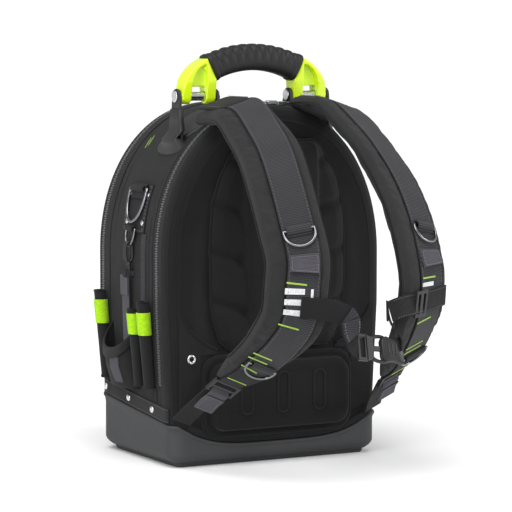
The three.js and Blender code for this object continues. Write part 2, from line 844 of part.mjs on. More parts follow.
// The strap's frame at a share of its length: middle, width direction and outward direction.
function strapFrame(share) {
  const middle = strapCurve.getPointAt(share);
  const along = strapCurve.getTangentAt(share);
  const level = unitX.clone().addScaledVector(along, -along.x).normalize();
  const out = new THREE.Vector3().crossVectors(along, level);
  const roll = mix(rootRoll, degrees(strapRoll), THREE.MathUtils.smoothstep(share, 0.1, 0.4));
  const across = level.clone().multiplyScalar(Math.cos(roll)).addScaledVector(out, -Math.sin(roll));
  const face = out.clone().multiplyScalar(Math.cos(roll)).addScaledVector(level, Math.sin(roll));
  return { middle, along, across, face };
}

// The strap is straight between its stations, and so is all that lies on it.
const strapSteps = 20;
const stations = Array.from({ length: strapSteps + 1 }, (_, i) => strapFrame(i / strapSteps));

function onStrap(share, across, lift) {
  const first = Math.min(strapSteps - 1, Math.floor(share * strapSteps + 1e-9));
  const [a, b] = [stations[first], stations[first + 1]].map((frame) => frame.middle.clone()
    .addScaledVector(frame.across, across).addScaledVector(frame.face, lift));
  return a.lerp(b, share * strapSteps - first);
}

// Share of the length at which the strap first falls to a height below its top.
function strapShareAt(height) {
  const steps = 400;
  for (let i = steps / 4; i <= steps; i += 1) {
    if (strapCurve.getPointAt(i / steps).z <= height) return i / steps;
  }
  return 1;
}

function strapSection(share) {
  const wide = strapWidth * mix(1, 0.74, THREE.MathUtils.smoothstep(share, 0.8, 1));
  const thick = mix(strapRootThickness, strapThickness, THREE.MathUtils.smoothstep(share, 0.12, 0.35));
  const half = wide / 2;
  const soft = 0.3 * thick;
  return [
    [-half, -thick / 2], [-half + 0.4 * soft, -0.9 * soft], [-half + 1.6 * soft, 0], [0, 0], [half - 1.6 * soft, 0],
    [half - 0.4 * soft, -0.9 * soft], [half, -thick / 2], [half - 0.5 * soft, -thick + 0.6 * soft],
    [half - 2 * soft, -thick], [-half + 2 * soft, -thick], [-half + 0.5 * soft, -thick + 0.6 * soft],
  ];
}

function strapPad() {
  const rings = [];
  for (let i = 0; i <= strapSteps; i += 1) {
    const share = i / strapSteps;
    rings.push(strapSection(share).map(([across, lift]) => onStrap(share, across, lift)));
  }
  return loft(rings);
}

// A flat band on the strap's face between two shares of its length.
function strapBand(from, to, left, right, low, high, steps) {
  const rings = [];
  for (let i = 0; i <= steps; i += 1) {
    const share = mix(from, to, i / steps);
    rings.push([onStrap(share, left, low), onStrap(share, right, low), onStrap(share, right, high),
      onStrap(share, left, high)]);
  }
  return loft(rings);
}

const upperRingShare = strapShareAt(0.685 * strapTop);
const tabShare = strapShareAt(0.625 * strapTop);
const lowerRingShare = 0.955;
const ringBarLift = clearance + webbingThickness + clearance + ringWire / 2;

// A keeper over the bar of a ring on the strap, and the bore for the bar.
function strapKeeper(share, shift, base) {
  const frame = strapFrame(share);
  const high = ringBarLift + ringWire / 2 + webbingThickness;
  const width = strapRingWidth - 3 * ringWire;
  const place = new THREE.Matrix4().makeBasis(frame.across, frame.along.clone().negate(), frame.face)
    .setPosition(onStrap(share, shift, 0));
  return {
    block: box(-width / 2, width / 2, -keeperLength / 2, keeperLength / 2, base, high).applyMatrix4(place),
    bore: rodX(ringWire / 2 + 2 * clearance, -width, width, 0, ringBarLift, 8).applyMatrix4(place),
  };
}

// The webbing on the strap, shifted to one side of its middle.
function strapWebbing(shift) {
  const half = webbingWidth / 2;
  const low = clearance;
  const high = clearance + webbingThickness;
  const ribbon = strapBand(2 / strapSteps, 1, shift - half, shift + half, low, high, strapSteps - 2);
  const upper = strapKeeper(upperRingShare, shift, high - 0.5);
  const lower = strapKeeper(lowerRingShare, shift, high - 0.5);
  return cut(join(ribbon, upper.block, lower.block), upper.bore, lower.bore);
}

// A D-ring in its own frame: the bar along X at the origin, the bow down along -Y.
function dRing(width, drop, wire) {
  const half = (width - wire) / 2;
  const bow = drop - wire / 2;
  const path = [];
  path.push([-half, 0], [half, 0]);
  const bowSteps = 10;
  for (let i = 1; i < bowSteps; i += 1) {
    const turn = (Math.PI * i) / bowSteps;
    path.push([half * Math.cos(turn), -bow * Math.sin(turn) ** 0.8]);
  }
  const sides = 6;
  const count = path.length;
  const rings = path.map(([x, y], i) => {
    const before = path[(i + count - 1) % count];
    const after = path[(i + 1) % count];
    const along = new THREE.Vector2(after[0] - before[0], after[1] - before[1]).normalize();
    const ring = [];
    for (let k = 0; k < sides; k += 1) {
      const turn = (2 * Math.PI * (k + 0.5)) / sides;
      const out = (wire / 2) * Math.cos(turn);
      ring.push(new THREE.Vector3(x - along.y * out, y + along.x * out, (wire / 2) * Math.sin(turn)));
    }
    return ring;
  });
  return loft(rings, true);
}

// Places a ring with the middle of its bar at a point, its bar across and its bow along.
function placeRing(ring, middle, across, bow) {
  const up = bow.clone().negate();
  const basis = new THREE.Matrix4().makeBasis(across, up, new THREE.Vector3().crossVectors(across, up));
  return ring.applyMatrix4(basis.setPosition(middle));
}

// A ring on the strap, lying on the webbing below its keeper.
function strapRing(share, shift) {
  const frame = strapFrame(share);
  const middle = onStrap(share, shift, ringBarLift);
  const tip = frame.middle.clone().addScaledVector(frame.along, strapRingDrop)
    .addScaledVector(frame.across, shift).addScaledVector(frame.face, ringBarLift + strapRingStand);
  const bow = tip.sub(middle).normalize();
  return placeRing(dRing(strapRingWidth, strapRingDrop, ringWire), middle, frame.across, bow);
}

// The folded tab: a plate that stands a little off the webbing at its lower end.
function strapTab(shift) {
  const half = webbingWidth / 2 - 2;
  const low = 2 * clearance + webbingThickness;
  const span = tabLength / strapCurve.getLength();
  const rings = [[0, 0], [0.5, 1], [1, 4]].map(([along, off]) => {
    const share = tabShare + along * span;
    return [onStrap(share, shift - half, low + off), onStrap(share, shift + half, low + off),
      onStrap(share, shift + half, low + off + tabThickness), onStrap(share, shift - half, low + off + tabThickness)];
  });
  return loft(rings);
}

// The flap over the root of the strap.
function yokeCover() {
  const low = 2 * clearance;
  const frame = strapFrame(0.08);
  const half = coverWidth / 2;
  const section = [[-half, low], [half, low], [half + 2, low + coverThickness / 2], [half, low + coverThickness],
    [-half, low + coverThickness], [-half - 2, low + coverThickness / 2]];
  const rings = [coverRear, coverRear - 6, coverFront + 6, coverFront].map((y, i) => {
    const narrow = i === 0 || i === 3 ? 0.86 : 1;
    return section.map(([across, lift]) => frame.middle.clone().setY(y)
      .addScaledVector(frame.across, across * narrow).addScaledVector(frame.face, lift));
  });
  return loft(rings);
}

// Ladder lock and webbing down to the corner of the base

const strapEnd = strapFrame(1);
const lockGap = 0.6;
const anchor = new THREE.Vector3(0.9 * halfWidth, padBack - panelThickness - adjusterThickness, rimRear + 6);
const lockStart = strapEnd.middle.clone().addScaledVector(strapEnd.face, -strapThickness / 2);
const lockRun = anchor.clone().sub(lockStart);
const lockAlong = lockRun.clone().normalize();
const lockAcross = strapEnd.across.clone().addScaledVector(lockAlong, -strapEnd.across.dot(lockAlong)).normalize();
const lockFace = new THREE.Vector3().crossVectors(lockAcross, lockAlong).normalize();

function onLock(along, across, lift) {
  return lockStart.clone().addScaledVector(lockAlong, along).addScaledVector(lockAcross, across)
    .addScaledVector(lockFace, lift);
}

function lockBox(a0, a1, half, low, high) {
  const ring = (along) => [onLock(along, -half, low), onLock(along, half, low), onLock(along, half, high),
    onLock(along, -half, high)];
  return loft([ring(a0), ring(a1)]);
}

function ladderLock() {
  const start = lockGap;
  const end = lockGap + lockLength;
  const half = lockThickness / 2;
  const frame = lockBox(start, end, lockWidth / 2, -half, half);
  const slot = adjusterWidth / 2 + 2;
  const upper = lockBox(start + 4, start + 8, slot, -half - 1, half + 1);
  const lower = lockBox(end - 8, end - 4, slot, -half - 1, half + 1);
  return cut(frame, upper, lower);
}

// Webbing through the lower slot of the lock to the base corner.
function adjuster() {
  const half = adjusterWidth / 2;
  const start = lockGap + lockLength - 6;
  const rows = [
    { along: start, lift: -lockThickness },
    { along: start + 6, lift: -lockThickness / 2 - adjusterThickness },
    { along: mix(start, lockRun.length(), 0.6), lift: -adjusterThickness },
    { along: lockRun.length(), lift: 0 },
  ];
  const rings = rows.map(({ along, lift }) => [onLock(along, -half, lift), onLock(along, half, lift),
    onLock(along, half, lift + adjusterThickness), onLock(along, -half, lift + adjusterThickness)]);
  return loft(rings);
}

// The grey tail that hangs from the lock.
function adjusterTail() {
  const half = adjusterWidth / 2;
  const start = lockGap + lockLength / 2;
  const low = lockThickness / 2 + clearance;
  const rows = [[0, 0], [0.4, 3], [1, 5]];
  const rings = rows.map(([share, off]) => {
    const along = start + share * tailLength;
    return [onLock(along, -half, low + off), onLock(along, half, low + off),
      onLock(along, half, low + off + adjusterThickness), onLock(along, -half, low + off + adjusterThickness)];
  });
  return loft(rings);
}

// Chest strap

// A flat band through points, each with the direction its face looks in.
function ribbon(rows, width, thickness) {
  const rings = rows.map(({ point, face }, i) => {
    const before = rows[Math.max(0, i - 1)].point;
    const after = rows[Math.min(rows.length - 1, i + 1)].point;
    const along = after.clone().sub(before).normalize();
    const across = new THREE.Vector3().crossVectors(along, face).normalize().multiplyScalar(width / 2);
    const out = new THREE.Vector3().crossVectors(across, along).normalize().multiplyScalar(thickness);
    return [point.clone().sub(across), point.clone().add(across), point.clone().add(across).add(out),
      point.clone().sub(across).add(out)];
  });
  return loft(rings);
}

const flip = (point) => new THREE.Vector3(-point.x, point.y, point.z);
const forward = new THREE.Vector3(0, -1, 0);
const chestShare = strapShareAt(0.49 * strapTop);
const chestLift = clearance + webbingThickness + chestGap;
const chestEdge = onStrap(chestShare, -strapWidth / 2, chestLift);
const chestY = chestEdge.y - 1;
const chestZ = chestEdge.z;

// The buckle's frame: along from the left strap to the right one, tipped so that its face looks up.
const buckleMiddle = new THREE.Vector3(11, chestY - buckleThickness / 2, chestZ - 49);
const buckleAlong = new THREE.Vector3(1, 0, -0.14).normalize();
const buckleTip = degrees(24);
const buckleFace = new THREE.Vector3(0, -Math.cos(buckleTip), Math.sin(buckleTip));
const buckleAcross = new THREE.Vector3().crossVectors(buckleFace, buckleAlong).normalize();
buckleFace.crossVectors(buckleAlong, buckleAcross).normalize();

function onBuckle(along, across, lift) {
  return buckleMiddle.clone().addScaledVector(buckleAlong, along).addScaledVector(buckleAcross, across)
    .addScaledVector(buckleFace, lift);
}

function buckleBox(a0, a1, half0, half1, low, high) {
  const ring = (along, half) => [onBuckle(along, -half, low), onBuckle(along, half, low),
    onBuckle(along, half, high), onBuckle(along, -half, high)];
  return loft([ring(a0, half0), ring(a1, half1)]);
}

const buckleSplit = -0.1 * buckleLength;

// The room that the straps leave free for the buckle.
const buckleRoom = buckleBox(-buckleLength / 2 - clearance, buckleLength / 2 + clearance, 0.75 * buckleWidth,
  0.75 * buckleWidth, -buckleThickness, buckleThickness);

function buckleSocket() {
  const half = buckleWidth / 2;
  const thick = buckleThickness / 2;
  const end = buckleLength / 2;
  const shell = buckleBox(buckleSplit + clearance / 2, end, half, 0.92 * half, -thick, thick);
  const slot = buckleBox(end - 8, end - 4, half - 3, half - 3, -thick - 1, thick + 1);
  const mouth = buckleBox(buckleSplit - 1, end - 14, 0.62 * half, 0.5 * half, -0.5 * thick, 0.5 * thick);
  return cut(shell, slot, mouth);
}

function bucklePlug() {
  const half = buckleWidth / 2;
  const thick = buckleThickness / 2;
  const end = -buckleLength / 2;
  const frame = buckleBox(end, buckleSplit - clearance / 2, 0.92 * half, half, -0.8 * thick, 0.8 * thick);
  const slot = buckleBox(end + 4, end + 8, half - 3, half - 3, -thick - 1, thick + 1);
  const tongue = buckleBox(buckleSplit - 1, 0.22 * buckleLength, 0.5 * half, 0.4 * half, -0.3 * thick, 0.3 * thick);
  return join(cut(frame, slot), tongue);
}

function chestStrapLeft() {
  const inner = flip(chestEdge);
  const face = flip(strapFrame(chestShare).face);
  const end = onBuckle(-buckleLength / 2, 0, -chestThickness / 2);
  const along = (share) => inner.clone().lerp(end, share).setZ(mix(inner.z, end.z, share ** 1.5));
  const strap = ribbon([
    { point: flip(onStrap(chestShare, -8, chestLift)), face },
    { point: flip(onStrap(chestShare, -strapWidth / 2 + 6, chestLift)), face },
    { point: along(0.12), face: forward },
    { point: along(0.4), face: forward },
    { point: along(0.72), face: forward },
    { point: end.clone().addScaledVector(buckleAlong, 6), face: buckleFace },
  ], chestWidth, chestThickness);
  return cut(strap, buckleRoom);
}

// The grey tab folded over the left half, just before the buckle.
function chestTab() {
  const inner = flip(chestEdge);
  const end = onBuckle(-buckleLength / 2 - clearance, 0, -chestThickness / 2);
  const place = (share) => inner.clone().lerp(end, share).setZ(mix(inner.z, end.z, share ** 1.5));
  const rows = [[0.12, 0.4], [0.4, 0.8], [0.72, 3]].map(([share, off]) => ({
    point: place(share).addScaledVector(forward, chestThickness + off), face: forward,
  }));
  return ribbon(rows, chestWidth + 1, tabThickness);
}

const fold = new THREE.Vector3(27, chestY, chestZ - 6);

function chestStrapRight() {
  const frame = strapFrame(chestShare);
  const start = onBuckle(buckleLength / 2 + 4, 0, 0);
  const depth = new THREE.Vector3(Math.cos(degrees(28)), -Math.sin(degrees(28)), 0);
  const riser = ribbon([
    { point: start.clone().add(new THREE.Vector3(2, 8, 0)), face: depth },
    { point: start.clone().add(new THREE.Vector3(0, 8, 18)), face: depth },
    { point: fold.clone().add(new THREE.Vector3(0, 8, 4)), face: depth },
  ], chestWidth, chestThickness);
  const run = ribbon([
    { point: fold, face: forward },
    { point: chestEdge.clone().lerp(fold, 0.4), face: forward },
    { point: onStrap(chestShare, -strapWidth / 2 + 6, chestLift), face: frame.face },
    { point: onStrap(chestShare, 0, chestLift), face: frame.face },
    { point: onStrap(chestShare - 0.008, strapWidth / 2 - 6, chestLift), face: frame.face },
  ], chestWidth, chestThickness);
  return cut(join(riser, run), buckleRoom);
}

// The slider that the right half passes through.
function chestSlider() {
  const frame = strapFrame(chestShare);
  const place = new THREE.Matrix4().makeBasis(frame.across, frame.along.clone().negate(), frame.face)
    .setPosition(onStrap(chestShare, -strapWidth / 4, 0));
  const low = chestLift + chestThickness + clearance;
  const half = sliderBoxLength / 2;
  const plate = box(-half, half, -sliderBoxWidth / 2, sliderBoxWidth / 2, low, low + 3);
  const slots = [-0.45, 0.45].map((middle) => box((middle - 0.2) * half, (middle + 0.2) * half,
    -sliderBoxWidth / 2 + 4, sliderBoxWidth / 2 - 4, low - 1, low + 4));
  return cut(plate, ...slots).applyMatrix4(place);
}

// Ring patch and hooks, built on the right and turned over to the left side

const patchOut = clearance + patchThickness;

const sideBarZ = patchTop - 5;
const sideBarX = outlinePoint(sideBarZ, patchOut + clearance).x + sideRingWire / 2 + 1;
const hookBarZ = patchFoot + 1;
const hookWire = 3;
const hookRingWidth = 26;
const hookRingDrop = 22;
const hookBarX = outlinePoint(hookBarZ, patchOut + clearance).x + hookWire / 2 + 1;

function sideKeeper(barX, barZ, wire, width) {
  const high = barX + wire / 2 + 2;
  const half = wire / 2 + 2.5;
  return {
    block: box(outlinePoint(barZ, clearance).x + 1.5, high, patchMiddle - width / 2, patchMiddle + width / 2,
      barZ - half, barZ + half),
    bore: new THREE.CylinderGeometry(wire / 2 + 2 * clearance, wire / 2 + 2 * clearance, 2 * width, 10)
      .translate(0, patchMiddle, 0).translate(barX, 0, barZ),
  };
}

function sidePatch() {
  const steps = 7;
  const low = [];
  const high = [];
  for (let i = 0; i <= steps; i += 1) {
    const z = mix(patchFoot - 4, patchTop, i / steps);
    low.push(outlinePoint(z, clearance));
    high.push(outlinePoint(z, patchOut));
  }
  const plate = prismY(new THREE.Shape([...low, ...high.reverse()]), patchMiddle - patchWidth / 2,
    patchMiddle + patchWidth / 2);
  const upper = sideKeeper(sideBarX, sideBarZ, sideRingWire, sideRingWidth - 3 * sideRingWire);
  const lower = sideKeeper(hookBarX, hookBarZ, hookWire, hookRingWidth - 3 * hookWire);
  return mirrored(cut(join(plate, upper.block, lower.block), upper.bore, lower.bore));
}

// The angle at which a ring hung from a bar leans out, so that it clears the side of the bag,
// and so that its tip stands off by the room that hangs from it.
function leanAngle(barX, barZ, drop, wire, room) {
  let lean = Math.atan2(outlinePoint(barZ - drop, clearance).x + room - barX, drop);
  for (let share = 0.2; share <= 1; share += 0.1) {
    const z = barZ - share * drop;
    const cover = z > patchFoot - 4 ? patchOut : clearance;
    const need = outlinePoint(z, cover + clearance).x + wire / 2;
    lean = Math.max(lean, Math.atan2(need - barX, share * drop));
  }
  return lean;
}

const unitY = new THREE.Vector3(0, 1, 0);

function hungRing(barX, barZ, width, drop, wire, room) {
  const lean = leanAngle(barX, barZ, drop, wire, room);
  const bow = new THREE.Vector3(Math.sin(lean), 0, -Math.cos(lean));
  const middle = new THREE.Vector3(barX, patchMiddle, barZ);
  return mirrored(placeRing(dRing(width, drop, wire), middle, unitY, bow));
}

const hookTopLean = leanAngle(hookBarX, hookBarZ, hookRingDrop, hookWire, hookWidth / 2 + 1);
const hookTipX = hookBarX + (hookRingDrop - hookWire / 2) * Math.sin(hookTopLean);
const hookTipZ = hookBarZ - (hookRingDrop - hookWire / 2) * Math.cos(hookTopLean);

// A snap hook: a long loop over the ring, a swivel neck and a flat eye.
function snapHook(offset) {
  const top = hookTipZ + hookWire / 2 + hookSlack + hookBar;
  const loopLength = 0.62 * hookLength;
  const outline = roundedShape(hookWidth / 2, top - loopLength, top, hookWidth / 2 - 0.1);
  outline.holes.push(new THREE.Path(roundedShape(hookWidth / 2 - hookBar, top - loopLength + hookBar,
    top - hookBar, hookWidth / 2 - hookBar - 0.1).getPoints(2).reverse()));
  const loop = prismY(outline, -hookThickness / 2, hookThickness / 2, 3);
  const neckLow = top - hookLength + 7;
  const neck = new THREE.CylinderGeometry(hookNeck, hookNeck, top - loopLength + 1 - neckLow, 8).rotateX(Math.PI / 2)
    .translate(0, 0, (top - loopLength + 1 + neckLow) / 2);
  const eye = roundedShape(hookWidth / 2, top - hookLength, neckLow + 1, 2);
  const eyePlate = prismY(eye, -hookThickness / 2, hookThickness / 2, 2);
  return mirrored(join(loop, neck, eyePlate).translate(hookTipX, patchMiddle + offset, 0));
}

const hookFootZ = hookTipZ + hookWire / 2 + hookSlack + hookBar - hookLength;

// The strap from the hooks down into the pouch.
function accessoryStrap() {
  const foot = pouchFoot + 30;
  const rows = [
    { inwards: 0, z: hookFootZ - clearance },
    { inwards: 0.5, z: mix(hookFootZ, foot, 0.3) },
    { inwards: 2, z: mix(hookFootZ, foot, 0.65) },
    { inwards: 4, z: foot },
  ].map((row) => ({ point: new THREE.Vector3(hookTipX - row.inwards, hangY, row.z), face: unitX }));
  return mirrored(ribbon(rows, hangWidth, chestThickness));
}

// Pouch and sleeves, built on the right and turned over to the left side

function pouchRing(z, reach, inset, steps = 12) {
  const back = sideHalfWidth(z) + clearance + inset;
  const ring = [];
  for (let i = 0; i <= steps; i += 1) {
    const turn = Math.PI * (i / steps - 0.5);
    ring.push(new THREE.Vector3(back + (reach - 2 * inset) * Math.cos(turn) ** 0.8,
      pouchMiddle + (pouchWidth / 2 - inset) * Math.sin(turn), z));
  }
  return ring;
}

function toolPouch() {
  const top = pouchBack + 10;
  const wall = clothWall;
  const outer = loft([pouchRing(pouchFoot, 0.55 * pouchReach, 0), pouchRing(mix(pouchFoot, top, 0.3),
    0.85 * pouchReach, 0), pouchRing(top, pouchReach, 0)]);
  const inner = loft([pouchRing(pouchFoot + wall, 0.55 * pouchReach, wall), pouchRing(mix(pouchFoot, top, 0.3),
    0.85 * pouchReach, wall), pouchRing(top + 1, pouchReach, wall)]);
  const slope = (pouchBack - pouchFront) / pouchReach;
  const back = sideHalfWidth(pouchBack);
  const above = shapeOf([[back - pouchReach, pouchBack + slope * pouchReach],
    [back + 2 * pouchReach, pouchBack - 2 * slope * pouchReach], [back + 2 * pouchReach, top + beyond],
    [back - pouchReach, top + beyond]]);
  return mirrored(cut(outer, inner, prismY(above, -bodyDepth, bodyDepth)));
}

// The sleeves: place as a share of the bag's depth, length as a share of sleeveLength, and the foot
// and top of the bright band as shares of that length.
const sleeveTable = [
  { y: -0.2961, top: 1, bandFoot: 0.62, bandTop: 0.88 },
  { y: -0.165, top: 0.8952, bandFoot: 0.68, bandTop: 0.95 },
  { y: 0.2913, top: 1.0381, bandFoot: 0.63, bandTop: 0.9 },
];

function toolSleeve({ y, top, bandFoot, bandTop }) {
  const height = top * sleeveLength;
  const foot = 0.84 * sleeveRadius;
  const at = (share) => mix(foot, sleeveRadius, share);
  const out = sleeveBandThickness;
  const profile = [
    [0, 0], [foot, 0], [at(bandFoot), bandFoot * height], [at(bandFoot) + out, bandFoot * height + out],
    [at(bandTop) + out, bandTop * height - out], [at(bandTop), bandTop * height], [sleeveRadius, height],
    [sleeveRadius - sleeveWall, height], [foot - sleeveWall, sleeveWall], [0, sleeveWall],
  ];
  const sleeve = new THREE.LatheGeometry(profile.map(([r, h]) => new THREE.Vector2(r, h)), 10);
  const low = sideHalfWidth(sleeveFoot) + clearance + foot;
  const high = halfWidth + 3 * clearance + sleeveBandThickness + sleeveRadius;
  const slope = (high - low) / (bandTop * height);
  const leaning = new THREE.Matrix4().set(1, 0, slope, low, 0, 1, 0, y * bodyDepth, 0, 0, 1, sleeveFoot, 0, 0, 0, 1);
  return mirrored(sleeve.rotateX(Math.PI / 2).applyMatrix4(leaning));
}

// Materials, with colour, roughness and metalness

const finishes = {
  rubber: [0x3d3e40, 0.7, 0],
  fabric: [0x232325, 0.85, 0],
  webbing: [0x2d2d30, 0.8, 0],
  pad: [0x3c3c3f, 0.85, 0],
  padDark: [0x1c1c1e, 0.7, 0],
  zip: [0x1a1a1b, 0.6, 0],
  grey: [0x5f5d66, 0.75, 0],
  plastic: [0x1e1f21, 0.45, 0],
  bright: [0xd2f01e, 0.4, 0],
  lime: [0xa5dc14, 0.7, 0],
  steel: [0xb9bbbd, 0.3, 1],
  darkSteel: [0x55565a, 0.3, 1],
};

const group = new THREE.Group();

function add(name, finish, geometry) {
  const [color, roughness, metalness] = finishes[finish];
  const mesh = new THREE.Mesh(geometry, new THREE.MeshStandardMaterial({ color, roughness, metalness }));
  mesh.name = name;
  group.add(mesh);
}

// Adds a piece built on the right, and its mirror image on the left.
function addPair(name, finish, geometry) {
  add(`${name}_right`, finish, geometry);
  add(`${name}_left`, finish, mirrored(geometry));
}

add('base_tub', 'rubber', baseTub());
add('base_band', 'webbing', baseBand());
[-1, 0, 1].forEach((place, i) => {
  add(`rivet_right_${i + 1}`, 'steel', rivet(place));
  add(`rivet_left_${i + 1}`, 'steel', mirrored(rivet(place)));
});
add('rear_cover', 'fabric', rearCover);
add('centre_band', 'fabric', centreBand);
add('front_cover', 'fabric', frontCover);
add('rear_zip', 'zip', zipStrip(rearZipY));
add('front_zip', 'zip', zipStrip(frontSeamY));
add('zip_slider_left', 'steel', zipSlider(-1));
add('zip_slider_right', 'steel', zipSlider(1));
add('back_pad', 'padDark', backPad());
add('lumbar_pad', 'padDark', lumbarPad());
addPair('hip_panel', 'fabric', hipPanel());
addPair('bracket', 'plastic', bracket());
addPair('pin', 'steel', pin());
add('handle_frame', 'bright', handleFrame());
add('handle_grip', 'plastic', handleGrip());
addPair('strap_pad', 'pad', strapPad());
addPair('yoke_cover', 'webbing', yokeCover());
for (const [side, shift, turn] of [['right', webbingShift, (g) => g], ['left', -webbingShift, mirrored]]) {
  add(`strap_webbing_${side}`, 'pad', turn(strapWebbing(shift)));
  add(`strap_tab_${side}`, 'grey', turn(strapTab(shift)));
  add(`upper_ring_${side}`, 'darkSteel', turn(strapRing(upperRingShare, shift)));
  add(`lower_ring_${side}`, 'darkSteel', turn(strapRing(lowerRingShare, shift)));
}
addPair('ladder_lock', 'plastic', ladderLock());
addPair('adjuster', 'webbing', adjuster());
addPair('adjuster_tail', 'grey', adjusterTail());
add('chest_strap_left', 'webbing', chestStrapLeft());
add('chest_strap_right', 'webbing', chestStrapRight());
add('chest_tab', 'grey', chestTab());
add('chest_slider', 'plastic', chestSlider());
add('buckle_socket', 'plastic', buckleSocket());
add('buckle_plug', 'plastic', bucklePlug());
add('side_patch', 'webbing', sidePatch());
add('side_ring', 'darkSteel', hungRing(sideBarX, sideBarZ, sideRingWidth, sideRingDrop, sideRingWire, sideRingWire));
add('hook_ring', 'darkSteel', hungRing(hookBarX, hookBarZ, hookRingWidth, hookRingDrop, hookWire,
  hookWidth / 2 + 1));
add('snap_hook_1', 'plastic', snapHook(-hookThickness / 2 - clearance));
add('snap_hook_2', 'plastic', snapHook(hookThickness / 2 + clearance));
add('accessory_strap', 'grey', accessoryStrap());
add('tool_pouch', 'fabric', toolPouch());
sleeveTable.forEach((row, i) => add(`tool_sleeve_${i + 1}`, 'lime', toolSleeve(row)));

export default group;
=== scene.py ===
"""Looks of the tool backpack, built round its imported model. Lengths in the tables are in millimetres."""

import math

import bpy
import numpy as np
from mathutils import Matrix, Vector, noise


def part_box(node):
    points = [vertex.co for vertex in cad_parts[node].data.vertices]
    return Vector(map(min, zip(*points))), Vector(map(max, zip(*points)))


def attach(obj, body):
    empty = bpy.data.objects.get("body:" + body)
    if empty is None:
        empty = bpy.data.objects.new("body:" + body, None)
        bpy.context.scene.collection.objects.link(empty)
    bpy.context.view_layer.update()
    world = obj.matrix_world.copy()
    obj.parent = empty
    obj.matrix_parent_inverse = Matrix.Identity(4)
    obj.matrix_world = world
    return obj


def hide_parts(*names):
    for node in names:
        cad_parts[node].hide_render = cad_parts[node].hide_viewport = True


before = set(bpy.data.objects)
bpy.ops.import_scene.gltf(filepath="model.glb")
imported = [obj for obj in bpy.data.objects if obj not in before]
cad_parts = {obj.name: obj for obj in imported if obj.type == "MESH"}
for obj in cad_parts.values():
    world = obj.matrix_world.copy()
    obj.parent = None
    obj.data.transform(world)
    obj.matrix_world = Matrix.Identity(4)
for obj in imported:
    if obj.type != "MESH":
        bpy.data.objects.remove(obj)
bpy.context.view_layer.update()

scene = bpy.context.scene
MM = 0.001

# Sizes of the bag and its base
HALF_WIDTH = 148.0
REAR, FRONT = -103.0, 103.0
SPRING, RISE, POWER = 250.0, 183.0, 2.1
SIDE_HEIGHTS = [0.0, 23.0, 52.0, 190.0, 250.0]
SIDE_WIDTHS = [0.94, 0.945, 0.953, 1.0, 1.0]
BODY_FOOT = 23.0
REAR_ROUND, FRONT_ROUND = 16.0, 28.0
REAR_ZIP, FRONT_ZIP = -78.0, 72.0
ZIP_FOOT = 94.0
BULGE = 6.0
FLOOR_POINTS = 60
# How the crown of a face rises: as a share inwards from its edge, and upwards from the base
CROWN_RUN, CROWN_START, CROWN_CLIMB = 0.36, 25.0, 70.0
RIM_REAR, RIM_FRONT = 52.0, 73.0
SCOOP_LOW, SCOOP_HALF, SCOOP_POWER = 26.0, 133.0, 4
TUB_WALL = 3.0
PAD_BACK = REAR - 0.3

# Sizes of the straps
STRAP_SEAT, STRAP_ROOT_THICK, STRAP_THICK = 60.0, 16.0, 20.0
STRAP_REACH, STRAP_ROOT_Y, STRAP_ROLL = 209.0, -86.0, 20.0
STRAP_WIDTH, WEB_WIDTH, WEB_SHIFT = 74.0, 38.0, 6.0
UPPER_RING, LOWER_RING = 0.5625, 0.955
STRAP_LENGTH = 476.0
RING_WIRE, RING_DROP = 3.2, 22.0
RING_LIFT = 0.3 + 2.0 + 0.3 + RING_WIRE / 2
TAB_SHARE = 0.6225
STATIONS = 20

# Places of the handle and of the things on the left side
HANDLE_Y, HANDLE_TOP, EAR_X = -40.0, 510.0, 103.0
PATCH_Y, SIDE_BAR, HOOK_BAR = -11.0, (-140.0136, 333.0), (-151.5027, 284.0)
SIDES = ((1, "right"), (-1, "left"))


# Camera, light and floor

def aim(item, target):
    """Turns a camera or light at a target."""
    away = item.location - Vector(target)
    item.rotation_euler = away.to_track_quat("Z", "Y").to_euler()


def make_camera():
    """The photograph's camera, solved from the bag's outline."""
    azimuth, elevation, distance = math.radians(28.26), math.radians(4.84), 3.265
    target = Vector((0.0206, -0.013, 0.244))
    focal_px, frame_px, sensor_mm = 2612.0, 512.0, 36.0
    data = bpy.data.cameras.new("camera")
    data.sensor_width = sensor_mm
    data.lens = sensor_mm * focal_px / frame_px
    data.clip_end = 100.0
    camera = bpy.data.objects.new("camera", data)
    scene.collection.objects.link(camera)
    camera.location = target + distance * Vector((
        -math.sin(azimuth) * math.cos(elevation), -math.cos(azimuth) * math.cos(elevation),
        math.sin(elevation)))
    aim(camera, target)
    scene.camera = camera


def make_light(name, place, size, power):
    """A square softbox that looks at the middle of the bag."""
    data = bpy.data.lights.new(name, "AREA")
    data.shape = "SQUARE"
    data.size = size
    data.energy = power
    light = bpy.data.objects.new(name, data)
    scene.collection.objects.link(light)
    light.location = place
    aim(light, (0, 0, 0.25))


